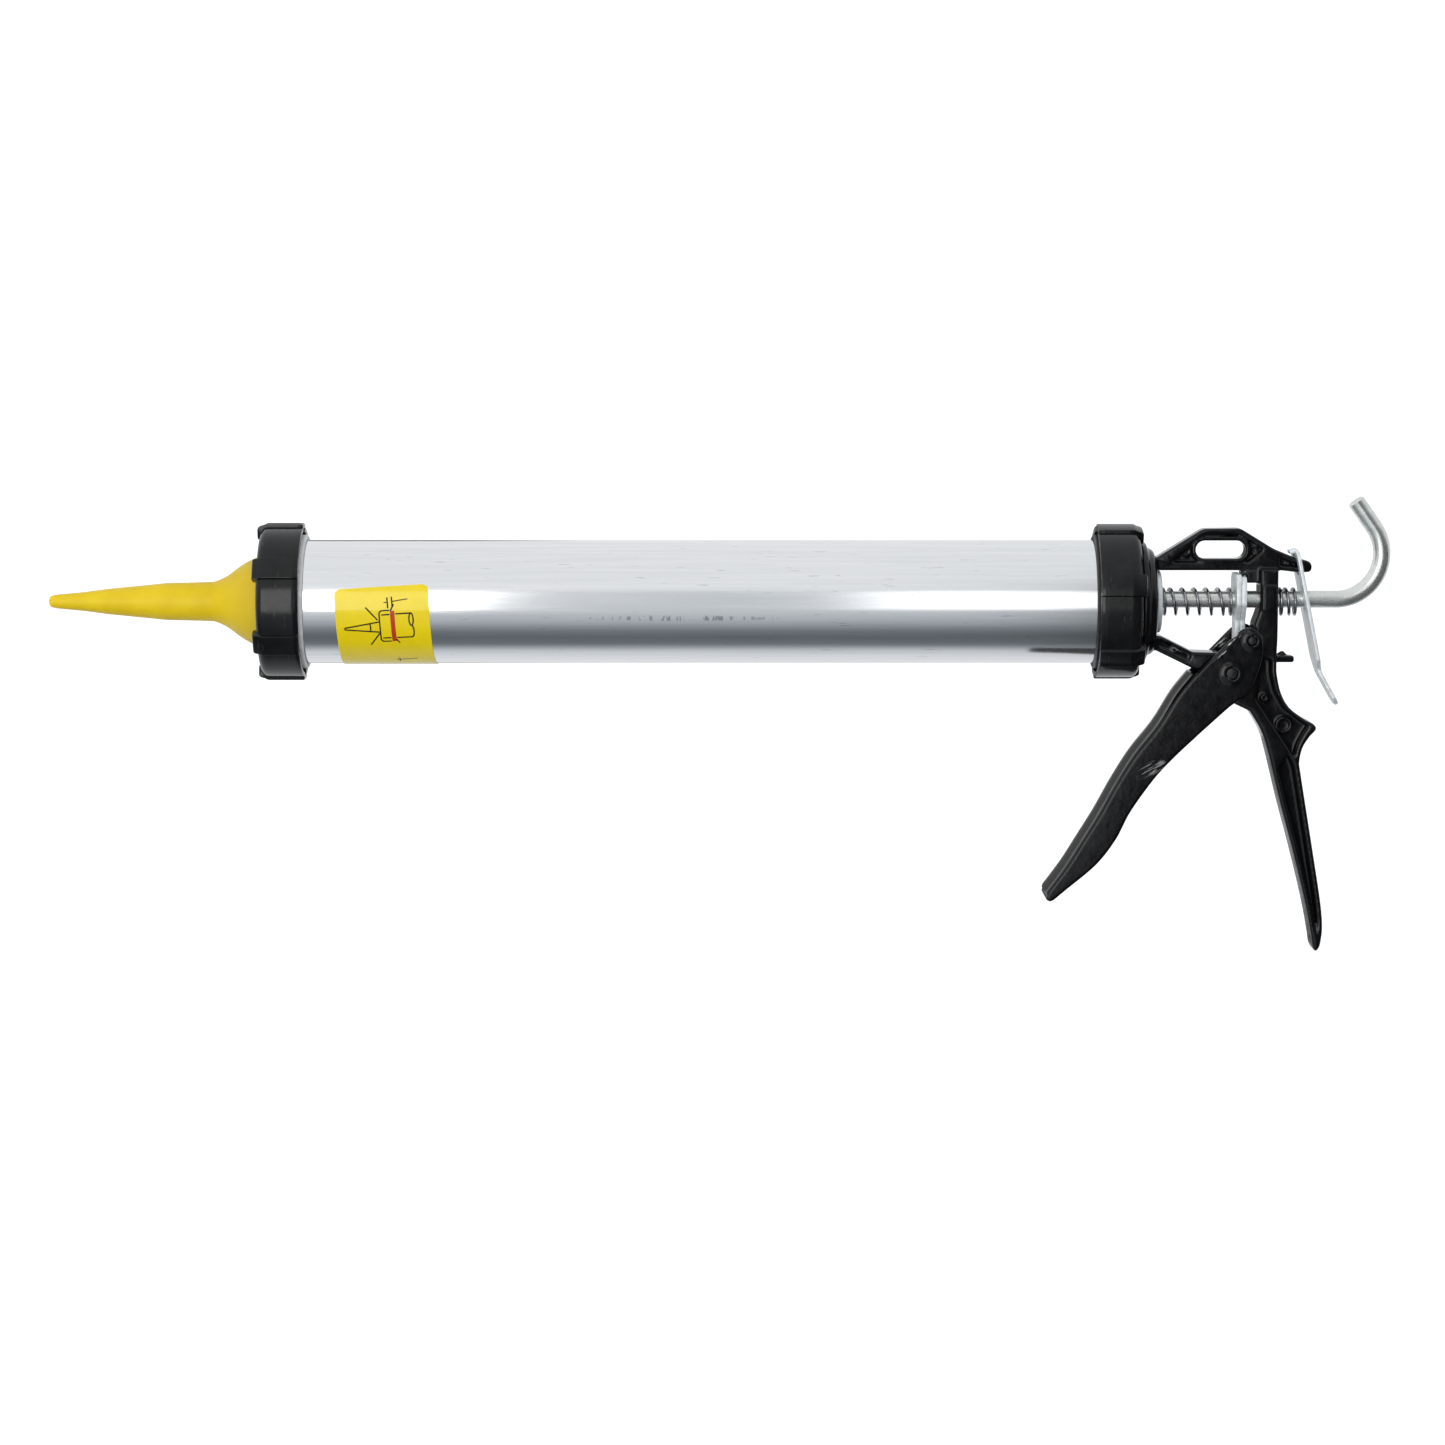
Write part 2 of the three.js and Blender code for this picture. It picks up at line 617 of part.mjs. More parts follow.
const finish = (color, roughness, metalness = 0) =>
  new THREE.MeshStandardMaterial({ color, roughness, metalness });
const yellowPlastic = finish(0xe6c52c, 0.4);
const blackPlastic = finish(0x17181a, 0.3);
const blackEnamel = finish(0x101214, 0.25);
const satinAluminium = finish(0xd8dadc, 0.35, 1);
const greyPlastic = finish(0xb9bcbe, 0.5);
const zinc = finish(0xc6cdd0, 0.32, 1);
const springSteel = finish(0x9aa0a4, 0.25, 1);
const whitePlastic = finish(0xe4e4df, 0.45);
const labelFilm = finish(0xd9c717, 0.3);

function meshOf(name, made, material) {
  const { vertProperties, triVerts } = made.getMesh();
  const geometry = new THREE.BufferGeometry();
  geometry.setAttribute("position", new THREE.BufferAttribute(vertProperties, 3));
  geometry.setIndex(new THREE.BufferAttribute(triVerts, 1));
  const mesh = new THREE.Mesh(geometry.toNonIndexed(), material);
  mesh.geometry.computeVertexNormals();
  mesh.name = name;
  return mesh;
}

function groupOf(...meshes) {
  const group = new THREE.Group();
  group.add(...meshes);
  return group;
}

const frontCollarInner = tube.front + gap;
const rearCollarOuter = rearCap.mouth - collar.proud;
const frontCollar = threadCollar(frontCollarInner, frontCollarInner + collar.length);
const rearCollar = threadCollar(rearCollarOuter + collar.length, rearCollarOuter);

const barrelGroup = groupOf(
  meshOf("barrel_tube", barrelTube(), satinAluminium),
  meshOf("front_thread_collar", frontCollar, greyPlastic),
  meshOf("rear_thread_collar", rearCollar, greyPlastic),
  meshOf("label", barrelLabel(), labelFilm),
);

const frontCapMesh = meshOf("front_cap", capSolid(frontCap.opening, frontCap.phase), blackPlastic);
frontCapMesh.rotation.z = Math.PI;
frontCapMesh.position.x = frontCap.mouth;
const noseGroup = groupOf(meshOf("nozzle", nozzleSolid(), yellowPlastic), frontCapMesh);

const rearCapMesh = meshOf("rear_cap", capSolid(rearCap.opening, rearCap.phase), blackPlastic);
rearCapMesh.position.x = rearCap.mouth;

const rodGroup = groupOf(
  meshOf("piston_rod", pistonRod(), zinc),
  meshOf("piston_front_nut", pistonFrontNut(), zinc),
  meshOf("piston_front_washer", pistonFrontWasher(), zinc),
  meshOf("piston_cup", pistonCup(), whitePlastic),
  meshOf("piston_backing_plate", pistonBackingPlate(), zinc),
  meshOf("piston_rear_nut", pistonRearNut(), zinc),
);
rodGroup.position.z = rod.rise;

const frameGroup = groupOf(
  meshOf("frame_casting", frameCasting(), blackEnamel),
  meshOf("cap_retaining_nut", capRetainingNut(), zinc),
  meshOf("cap_washer", capWasherSolid(), zinc),
  meshOf("spring_seat_washer", springSeatWasher(), zinc),
  meshOf("drive_spring", spring(driveSpring), springSteel),
  meshOf("release_spring", spring(releaseSpring), springSteel),
  meshOf("trigger_pivot_pin", pinAcross(pivot.x, pivot.z, pivot.pin, pinHalf), blackEnamel),
);

const driveGroup = groupOf(
  meshOf("drive_plate_rear", drivePlate(plateRear, 10), zinc),
  meshOf("drive_plate_front", drivePlate(plateRear - plate.thickness - gap, 12.6), zinc),
);

const triggerGroup = groupOf(
  meshOf("trigger", triggerSolid(), blackEnamel),
  meshOf("thrust_pin", pinAcross(thrust.x, thrust.z, thrust.pin, pinHalf), blackEnamel),
);

const releaseMesh = meshOf("release_plate", releasePlate(), zinc);

const barrelAndCaps = groupOf(barrelGroup, noseGroup, rearCapMesh);
const caulkingGun = groupOf(barrelAndCaps, frameGroup, rodGroup, driveGroup, triggerGroup, releaseMesh);

export default caulkingGun;
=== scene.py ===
# A hand-operated caulking gun with a closed barrel: its visible surfaces, finishes, light and camera.
# Shapes are worked out in millimetres and become metres when a mesh is made. The origin is the nozzle's
# tip, +X runs back along the barrel's axis to the rod's hook, and +Z is up.
import math

import bmesh
import bpy
from mathutils import Matrix, Vector, noise


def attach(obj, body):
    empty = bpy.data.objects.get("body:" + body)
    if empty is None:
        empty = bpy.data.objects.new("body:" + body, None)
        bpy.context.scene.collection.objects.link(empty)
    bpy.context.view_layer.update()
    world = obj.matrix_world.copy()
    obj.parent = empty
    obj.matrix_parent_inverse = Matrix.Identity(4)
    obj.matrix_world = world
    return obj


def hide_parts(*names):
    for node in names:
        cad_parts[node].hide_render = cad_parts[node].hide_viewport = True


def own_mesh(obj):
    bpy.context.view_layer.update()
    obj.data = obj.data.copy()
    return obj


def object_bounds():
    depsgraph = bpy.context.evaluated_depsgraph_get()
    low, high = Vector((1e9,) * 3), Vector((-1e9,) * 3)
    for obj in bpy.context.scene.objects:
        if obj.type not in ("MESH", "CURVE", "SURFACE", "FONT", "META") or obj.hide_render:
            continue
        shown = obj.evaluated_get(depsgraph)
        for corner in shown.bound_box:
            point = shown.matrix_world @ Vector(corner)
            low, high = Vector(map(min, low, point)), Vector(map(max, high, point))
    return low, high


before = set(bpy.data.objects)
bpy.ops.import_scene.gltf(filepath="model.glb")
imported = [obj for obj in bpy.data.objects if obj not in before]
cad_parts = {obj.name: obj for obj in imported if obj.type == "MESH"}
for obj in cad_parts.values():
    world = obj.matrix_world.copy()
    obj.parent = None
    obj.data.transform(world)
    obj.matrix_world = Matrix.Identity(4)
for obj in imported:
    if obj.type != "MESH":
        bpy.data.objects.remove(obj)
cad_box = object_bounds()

# ---- Driving dimensions, the same as the frame's ----

MM = 0.001
WELD = 2e-6
CAST_VOXEL = 0.5

TUBE = {"radius": 26.5, "wall": 1.4, "front": 97.3, "rear": 463.4}
COLLAR = {"inside": 26.8, "outside": 28.8, "length": 14}
FRONT_COLLAR = 97.6
REAR_COLLAR = 449.4

LABEL_RADIUS = 26.82
LABEL = {"front": 125, "width": 39.9, "top": 15.2, "slant": 5.4, "wrap": 120, "skew": 0.05, "corner": 2.2}

CAP = {"ribs": 6, "rib_half": 8.5, "mouth_half": 6.0, "rib_side": 0.45}  # half widths in degrees
FRONT_CAP = {"mouth": 110.1, "opening": 20.4, "phase": 29.7, "sense": -1}
REAR_CAP = {"mouth": 450.6, "opening": 10.4, "phase": 163.4, "sense": 1}

ROD = {
    "radius": 3.7, "rise": 1, "front": 101.5, "bend_start": 554.2, "bend_radius": 19.7, "bend": 125,
    "tail": 14.2,
}
ROD_HOLE = 4.1
PLATE_HOLE = 4.25

WEB_HALF = 5
PANEL_HALF = 2.4
WEB_BOTTOM = 13.7
SLOT = {"x": 504, "z": 22.6, "reach": 6.8, "radius": 3.9, "rim": 1.9}
POST = {"front": 520.8, "rear": 528.7, "half": 8}
GRIP_HALF = 8

PIVOT = {"x": 508.4, "z": -30, "pin": 2.5, "hole": 2.8}
THRUST = {"x": 517, "z": -15.9, "pin": 1.9, "hole": 2.2}
PIN_HALF = 13.5
TRIGGER = {"half": 14, "cheek": 2.8, "spine": 2.8, "bulge": 0.8, "corner": 2.2}

DRIVE_PLATE = 2.15
DRIVE_SPRING = {"front": 478.9, "rear": 510, "radius": 5.6, "wire": 0.65, "turns": 7}
RELEASE_SPRING = {"front": 529.1, "rear": 537.6, "radius": 5.6, "wire": 0.65, "turns": 3}
RELEASE = {
    "x": 536, "z": 20.3, "tilt": 11.4, "thickness": 1.6, "half": 11, "length": 50, "top": 2.4,
    "tab": 18, "bend": 18, "bend_arc": 5, "hole": 4.4, "hole_height": 5,
}

# ---- Shapes: (vertices, faces) in millimetres ----


def corner_between(before, corner, after, reach, steps):
    """Points on a small curve that replaces a corner, from reach before it to reach after it."""
    corner = Vector(corner)
    back = Vector(before) - corner
    ahead = Vector(after) - corner
    start = corner + back.normalized() * min(reach, back.length * 0.45)
    end = corner + ahead.normalized() * min(reach, ahead.length * 0.45)
    shares = [k / steps for k in range(steps + 1)]
    return [start.lerp(corner, t).lerp(corner.lerp(end, t), t) for t in shares]


def rounded(points, reach, steps=4):
    """A closed outline with each of its corners eased."""
    made = []
    for i, corner in enumerate(points):
        made += corner_between(points[i - 1], corner, points[(i + 1) % len(points)], reach, steps)
    return made


def both_halves(right):
    """A plate's right half outline and its mirror image."""
    return [*right, *[(-y, z) for y, z in reversed(right)]]


def spline_through(points, steps=6):
    """Points on a smooth open curve that passes through all the given ones."""
    ends = [points[0], *points, points[-1]]
    made = []
    for a, b, c, d in zip(ends, ends[1:], ends[2:], ends[3:]):
        a, b, c, d = Vector(a), Vector(b), Vector(c), Vector(d)
        for k in range(steps):
            t = k / steps
            slope = (c - a) * t + (2 * a - 5 * b + 4 * c - d) * t**2
            made.append((2 * b + slope + (3 * b - a - 3 * c + d) * t**3) / 2)
    return [*made, Vector(points[-1])]


def full_turn(steps):
    return [2 * math.pi * i / steps for i in range(steps)]


def circle(x, z, radius, sides=40, stretch=1.0):
    return [(x + radius * math.cos(a), z + radius * stretch * math.sin(a)) for a in full_turn(sides)]


def merged(*shapes):
    vertices, faces = [], []
    for points, polygons in shapes:
        start = len(vertices)
        vertices += points
        faces += [tuple(i + start for i in polygon) for polygon in polygons]
    return vertices, faces


def skin(rings, closed=False):
    """A surface over rings of equal length. When closed, the last ring also joins the first."""
    count = len(rings[0])
    faces = []
    for i in range(len(rings) if closed else len(rings) - 1):
        low, high = i * count, (i + 1) % len(rings) * count
        for j in range(count):
            k = (j + 1) % count
            faces.append((low + j, low + k, high + k, high + j))
    return [Vector(point) for ring in rings for point in ring], faces


def lathe(profile, sides=96, height=0.0):
    """A profile of (x, radius) turned about the barrel's axis, or about a line at another height."""
    turns = full_turn(sides)
    rings = [[(x, r * math.cos(a), height + r * math.sin(a)) for a in turns] for x, r in profile]
    return skin(rings, closed=profile[0][1] > 0)


def sweep(path, radius, sides, chamfer):
    """A round bar along a path, with chamfered ends."""
    points = [Vector(point) for point in path]
    last = len(points) - 1
    ways = [(points[min(i + 1, last)] - points[max(i - 1, 0)]).normalized() for i in range(last + 1)]
    ends = []
    for point, way, inward in ((points[0], ways[0], chamfer), (points[-1], ways[-1], -chamfer)):
        ends.append([(point, way, 0), (point, way, radius - chamfer), (point + way * inward, way, radius)])
    middle = [(point, way, radius) for point, way in zip(points[1:-1], ways[1:-1])]
    turns = full_turn(sides)
    side = Vector((0, 1, 0))
    rings = []
    for point, way, size in [*ends[0], *middle, *reversed(ends[1])]:
        side = (side - way * side.dot(way)).normalized()
        up = way.cross(side)
        rings.append([point + (side * math.cos(a) + up * math.sin(a)) * size for a in turns])
    return skin(rings)


def slab(outlines, low, high, edge=0.5, along="Y", steps=2):
    """The first outline less the others, as a plate between low and high with rounded edges.

    Outlines lie in the XZ plane, or in the YZ plane for a plate across the X axis.
    """
    curve = bpy.data.curves.new("outline", "CURVE")
    curve.dimensions = "2D"
    curve.fill_mode = "BOTH"
    curve.extrude = (high - low) / 2 - edge
    curve.bevel_depth = edge
    curve.bevel_resolution = steps
    curve.offset = -edge
    for outline in outlines:
        spline = curve.splines.new("POLY")
        spline.points.add(len(outline) - 1)
        for point, place in zip(spline.points, outline):
            point.co = (place[0], place[1], 0, 1)
        spline.use_cyclic_u = True
    holder = bpy.data.objects.new("outline", curve)
    flat = bpy.data.meshes.new_from_object(holder)
    middle = (low + high) / 2
    if along == "Y":
        vertices = [Vector((v.co.x, middle + v.co.z, v.co.y)) for v in flat.vertices]
    else:
        vertices = [Vector((middle + v.co.z, v.co.x, v.co.y)) for v in flat.vertices]
    faces = [tuple(polygon.vertices) for polygon in flat.polygons]
    bpy.data.objects.remove(holder)
    bpy.data.curves.remove(curve)
    bpy.data.meshes.remove(flat)
    return vertices, faces


def slab_pair(outlines, low, high, edge=0.5):
    return merged(slab(outlines, low, high, edge), slab(outlines, -high, -low, edge))


def disc(x, z, radius, half, edge=0.3, bore=0.0):
    """A round boss or a ring across the gun."""
    rims = [circle(x, z, radius)] + ([circle(x, z, bore)] if bore else [])
    return slab(rims, -half, half, edge)


# ---- From shapes to pieces ----


def mesh_of(shape):
    """A mesh in metres, welded, with its faces turned outwards."""
    vertices, faces = shape
    mesh = bpy.data.meshes.new("shape")
    mesh.from_pydata([vertex * MM for vertex in vertices], [], faces)
    welded = bmesh.new()
    welded.from_mesh(mesh)
    bmesh.ops.remove_doubles(welded, verts=welded.verts, dist=WELD)
    bmesh.ops.recalc_face_normals(welded, faces=welded.faces)
    welded.to_mesh(mesh)
    welded.free()
    return mesh


def added(name, data):
    """A new object in the scene."""
    made = bpy.data.objects.new(name, data)
    bpy.context.scene.collection.objects.link(made)
    return made


def applied(holder):
    """The holder's mesh with its modifiers applied. The holder goes."""
    graph = bpy.context.evaluated_depsgraph_get()
    mesh = bpy.data.meshes.new_from_object(holder.evaluated_get(graph))
    bpy.data.objects.remove(holder)
    return mesh


def cast(shapes, softening, share):
    """One skin over overlapping shapes, with the small fillets that a casting has."""
    holder = added("holder", mesh_of(merged(*shapes)))
    whole = holder.modifiers.new("whole", "REMESH")
    whole.mode = "VOXEL"
    whole.voxel_size = CAST_VOXEL * MM
    soft = holder.modifiers.new("soft", "SMOOTH")
    soft.factor = 0.5
    soft.iterations = softening
    light = holder.modifiers.new("light", "DECIMATE")
    light.ratio = share
    return applied(holder)


def combined(mesh, shapes, operation):
    """The mesh with each shape added to it or cut from it."""
    holder = added("holder", mesh)
    others = [added("other", mesh_of(shape)) for shape in shapes]
    for other in others:
        step = holder.modifiers.new("step", "BOOLEAN")
        step.operation = operation
        step.solver = "EXACT"
        step.object = other
    made = applied(holder)
    for other in others:
        bpy.data.objects.remove(other)
    return made


def piece(name, mesh, material, body, nodes=(), crease=32):
    mesh.materials.clear()
    mesh.materials.append(material)
    mesh.shade_smooth()
    mesh.set_sharp_from_angle(angle=math.radians(crease))
    made = added(name, mesh)
    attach(made, body)
    if nodes:
        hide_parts(*nodes)
    return made


# ---- Finishes ----


def node(tree, kind, inputs=None, **settings):
    made = tree.nodes.new("ShaderNode" + kind)
    for name, value in settings.items():
        setattr(made, name, value)
    for name, value in (inputs or {}).items():
        if isinstance(value, bpy.types.NodeSocket):
            tree.links.new(value, made.inputs[name])
        else:
            made.inputs[name].default_value = value
    return made


def placed(tree, grain, stretch=(1, 1, 1)):
    """Object coordinates counted in grains of that many millimetres."""
    place = node(tree, "TexCoord").outputs["Object"]
    scale = tuple(1 / (grain * MM * share) for share in stretch)
    return node(tree, "Mapping", {"Vector": place, "Scale": scale}).outputs["Vector"]


def speckle(tree, grain, stretch=(1, 1, 1), detail=3.0, roughness=0.5):
    inputs = {"Vector": placed(tree, grain, stretch), "Scale": 1.0}
    inputs |= {"Detail": detail, "Roughness": roughness}
    return node(tree, "TexNoise", inputs).outputs["Fac"]


def ranged(tree, value, low, high, made_low=0.0, made_high=1.0):
    inputs = {"Value": value, "From Min": low, "From Max": high, "To Min": made_low, "To Max": made_high}
    return node(tree, "MapRange", inputs).outputs["Result"]


def mixed(tree, share, first, second):
    """Runs from the first colour to the second."""
    made = node(tree, "Mix", {0: share, 6: first, 7: second}, data_type="RGBA")
    return made.outputs[2]


def times(tree, first, second):
    return node(tree, "Math", {0: first, 1: second}, operation="MULTIPLY").outputs[0]


def turned(tree, vector, tilt):
    """Coordinates turned in the XZ plane, by an angle in degrees."""
    turn = {"Vector": vector, "Angle": math.radians(tilt), "Axis": (0, 1, 0)}
    return node(tree, "VectorRotate", turn).outputs["Vector"]


def patch(tree, centre, half, tilt=0.0):
    """1 in the middle of an oval on the side of the gun, 0 outside it. Tilt turns it in the XZ plane."""
    place = node(tree, "TexCoord").outputs["Object"]
    middle = (centre[0] * MM, 0, centre[1] * MM)
    moved = node(tree, "VectorMath", {0: place, 1: middle}, operation="SUBTRACT").outputs[0]
    scale = (1 / (half[0] * MM), 0, 1 / (half[1] * MM))
    inputs = {0: turned(tree, moved, tilt), 1: scale}
    scaled = node(tree, "VectorMath", inputs, operation="MULTIPLY").outputs[0]
    distance = node(tree, "VectorMath", {0: scaled}, operation="LENGTH").outputs["Value"]
    return ranged(tree, distance, 0.6, 1.0, 1.0, 0.0)


def rgb(red, green, blue):
    """A colour as it shows on a screen, from 0 to 255, as linear light."""
    shares = [value / 255 for value in (red, green, blue)]
    return (*(s / 12.92 if s <= 0.04045 else ((s + 0.055) / 1.055) ** 2.4 for s in shares), 1.0)


def principled(material, values=None):
    """The material's shader, with the given inputs set."""
    shader = material.node_tree.nodes["Principled BSDF"]
    for name, value in (values or {}).items():
        shader.inputs[name].default_value = value
    return shader


def finish(name, dark, light, roughness, grain, relief, stretch=(1, 1, 1), metallic=0.0, specular=0.5):
    """A material whose colour and roughness wander between two values, over a fine relief.

    The relief is its depth and its grain in millimetres.
    """
    material = bpy.data.materials.new(name)
    material.use_nodes = True
    tree = material.node_tree
    shader = principled(material, {"Metallic": metallic, "Specular IOR Level": specular})
    broad = speckle(tree, grain, stretch)
    colour = mixed(tree, ranged(tree, broad, 0.3, 0.7), dark, light)
    tree.links.new(colour, shader.inputs["Base Color"])
    shine = ranged(tree, speckle(tree, grain * 0.6, stretch, 5.0), 0.25, 0.75, *roughness)
    tree.links.new(shine, shader.inputs["Roughness"])
    depth, size = relief
    height = speckle(tree, size, stretch, 4.0)
    bump = node(tree, "Bump", {"Height": height, "Distance": depth * MM, "Strength": 1.0})
    tree.links.new(bump.outputs["Normal"], shader.inputs["Normal"])
    return material


def overlay(material, share, colour, roughness=None):
    """Lays a second colour, and if given a roughness, over the finish where share is high."""
    tree = material.node_tree
    shader = principled(material)
    below = shader.inputs["Base Color"].links[0].from_socket
    tree.links.new(mixed(tree, share, below, colour), shader.inputs["Base Color"])
    if roughness is not None:
        under = shader.inputs["Roughness"].links[0].from_socket
        shift = node(tree, "Mix", {0: share, 2: under, 3: roughness}, data_type="FLOAT")
        tree.links.new(shift.outputs[0], shader.inputs["Roughness"])


def edge_wear_and_highlight(tree, low, high):
    """High where the surface turns over a sharp edge, and broken up along it. It lays edge wear and a
    painted highlight along the edges.
    """
    point = node(tree, "NewGeometry").outputs["Pointiness"]
    return times(tree, ranged(tree, point, low, high), ranged(tree, speckle(tree, 5.0), 0.4, 0.6))


def scratches(tree, grain, stretch, low=0.66, high=0.7):
    """Thin broken lines, drawn out along one direction."""
    return ranged(tree, speckle(tree, grain, stretch, 2.0), low, high)


def yellow_plastic():
    dark, light = rgb(222, 188, 18), rgb(233, 200, 28)
    made = finish("yellow_plastic_finish", dark, light, (0.36, 0.48), 14, (0.02, 0.9), specular=0.25)
    principled(made, {"Subsurface Weight": 0.2, "Subsurface Radius": (1.0, 0.7, 0.1)})
    principled(made, {"Subsurface Scale": 0.004})
    tree = made.node_tree
    along = node(tree, "SeparateXYZ", {0: node(tree, "TexCoord").outputs["Object"]}).outputs["X"]
    # Painted shade: the flare turns a duller, darker yellow towards the cap, where it meets the cap's end
    # wall.
    overlay(made, ranged(tree, along, 0.074, 0.097, 0.0, 0.75), rgb(205, 176, 56))
    return made


def aluminium():
    """Drawn tube: fine lines along it, which spread a reflection round it more than along it."""
    drawn = (40, 1, 1)
    dark, light = (0.84, 0.85, 0.865, 1), (0.9, 0.905, 0.91, 1)
    made = finish("aluminium_finish", dark, light, (0.11, 0.16), 1.6, (0.004, 0.5), drawn, 1.0)
    tree = made.node_tree
    shader = principled(made, {"Anisotropic": 0.6})
    around = node(tree, "Tangent", direction_type="RADIAL", axis="X").outputs["Tangent"]
    tree.links.new(around, shader.inputs["Tangent"])
    rubbed = scratches(tree, 1.1, (9, 1, 1), 0.68, 0.74)
    overlay(made, times(tree, rubbed, 0.45), (0.45, 0.47, 0.5, 1), 0.4)
    nicks = times(tree, patch(tree, (272, -5.2), (46, 1.3)), scratches(tree, 1.5, (1, 1, 8), 0.55, 0.62))
    overlay(made, times(tree, nicks, 0.6), (0.2, 0.21, 0.24, 1), 0.4)
    return made


def label_film():
    return finish("label_film_finish", rgb(232, 206, 4), rgb(238, 213, 8), (0.1, 0.17), 9, (0.008, 2.5))


def black_plastic():
    dark, light = (0.004, 0.004, 0.0045, 1), (0.008, 0.008, 0.0085, 1)
    made = finish("black_plastic_finish", dark, light, (0.12, 0.2), 7, (0.02, 2.6), specular=0.34)
    tree = made.node_tree
    # Paler sharp edges: partly edge wear, partly a painted highlight along the rib edges.
    overlay(made, times(tree, edge_wear_and_highlight(tree, 0.53, 0.6), 0.5), (0.09, 0.09, 0.095, 1), 0.4)
    scuffed = scratches(tree, 1.4, (1, 5, 5), 0.66, 0.72)
    overlay(made, times(tree, scuffed, 0.25), (0.06, 0.06, 0.065, 1), 0.5)
    return made


def black_enamel(name, wear_and_highlight_places):
    """Glossy enamel over metal with pale streaks in ovals: centre, half sizes, tilt and amount. On the
    trigger they are wear to the metal; on the casting they are painted highlights.
    """
    dark, light = (0.003, 0.003, 0.0035, 1), (0.006, 0.006, 0.0065, 1)
    made = finish(name, dark, light, (0.08, 0.16), 6, (0.03, 3.2), specular=0.36)
    tree = made.node_tree
    # Paler sharp edges: partly edge wear, partly a painted highlight along the edges.
    overlay(made, times(tree, edge_wear_and_highlight(tree, 0.54, 0.62), 0.35), (0.12, 0.12, 0.125, 1), 0.35)
    # Pale streaks in each oval: wear to the metal on the trigger, painted highlights on the casting.
    for centre, half, tilt, amount in wear_and_highlight_places:
        lines = turned(tree, node(tree, "TexCoord").outputs["Object"], tilt)
        scale = (1 / (6 * MM), 1 / (6 * MM), 1 / (0.9 * MM))
        vector = node(tree, "Mapping", {"Vector": lines, "Scale": scale}).outputs["Vector"]
        streaks = node(tree, "TexNoise", {"Vector": vector, "Scale": 1.0, "Detail": 4.0}).outputs["Fac"]
        share = times(tree, patch(tree, centre, half, tilt), ranged(tree, streaks, 0.56, 0.62))
        overlay(made, times(tree, share, amount), (0.5, 0.5, 0.5, 1), 0.4)
    return made


def zinc():
    dark, light = (0.74, 0.78, 0.8, 1), (0.88, 0.92, 0.93, 1)
    made = finish("zinc_finish", dark, light, (0.34, 0.48), 2.6, (0.007, 1.1), metallic=0.45)
    tree = made.node_tree
    scratched = times(tree, scratches(tree, 1.5, (1, 1, 6), 0.62, 0.7), 0.3)
    overlay(made, scratched, (0.33, 0.36, 0.38, 1), 0.5)
    return made


def drawn_zinc():
    """The rod's finish: fine lines along it."""
    dark, light = (0.7, 0.72, 0.69, 1), (0.84, 0.86, 0.83, 1)
    made = finish("rod_finish", dark, light, (0.2, 0.3), 2.6, (0.004, 1.1), (6, 1, 1), 0.85)
    tree = made.node_tree
    scratched = times(tree, scratches(tree, 1.2, (8, 1, 1), 0.64, 0.72), 0.25)
    overlay(made, scratched, (0.4, 0.42, 0.4, 1), 0.4)
    return made


def plain(name, dark, light, roughness, metallic=0.0):
    return finish(name, dark, light, roughness, 3, (0.02, 1.0), metallic=metallic)


# ---- Nozzle, barrel, collars and label ----


def nozzle_shape():
    tip = [(0, 0), (0, 1.0), (0.15, 1.6), (0.6, 2.2), (1.8, 2.7), (4.5, 3.1)]
    cone = [(15, 4.1), (25, 5.4), (36, 6.5), (46, 7.5), (51, 7.95), (61, 8.2), (69, 8.45), (72, 8.85)]
    flare = [(77, 11.2), (82, 14.9), (86.4, 17.6), (91.8, 19.9)]
    root = [(94.4, 20.1), (94.5, 24.9), (94.8, 25.2), (96.7, 25.2), (97, 24.9)]
    inside = [(97, 18.7), (91.8, 18.3), (86.4, 16), (82, 13.4), (77, 9.5), (72, 7.4)]
    inside += [(51, 6.6), (25, 4), (6, 1.9), (6, 0)]
    outside = spline_through([*tip[2:], *cone, *flare], 5)
    return lathe([tip[0], tip[1], *outside, *root, *inside], 128)


def tube_shape():
    inner = TUBE["radius"] - TUBE["wall"]
    front, rear, radius = TUBE["front"], TUBE["rear"], TUBE["radius"]
    outside = [(front, radius - 0.3), (front + 0.3, radius), (rear - 0.3, radius), (rear, radius - 0.3)]
    return lathe([*outside, (rear, inner), (front, inner)], 192)


def collar_shape(front, outer_end):
    """A threaded sleeve. Its outer end, at +1 the rear and at -1 the front, has a groove."""
    inside, outside, length = COLLAR["inside"], COLLAR["outside"], COLLAR["length"]
    start = front + length if outer_end > 0 else front
    groove = [(0, 0), (0, 0.55), (0.35, 0.7), (0.35, 0.9), (0, 1.05)]
    face = [(depth, inside + out) for depth, out in groove]
    rim = [(0, outside - 0.6), (0.5, outside)]
    ridges = []
    for i in range(4):
        at = 2.2 + 2.8 * i
        root = outside - 0.55
        ridges += [(at, outside), (at + 0.5, root), (at + 1.3, root), (at + 1.8, outside)]
    profile = [*face, *rim, *ridges, (length, outside), (length, inside)]
    return lathe([(start - outer_end * depth, radius) for depth, radius in profile], 128)


def on_barrel(x, degrees, radius):
    """A point on the barrel's near side: 0 degrees faces straight out along -Y and 90 faces up."""
    angle = math.radians(degrees)
    return Vector((x, -radius * math.cos(angle), radius * math.sin(angle)))


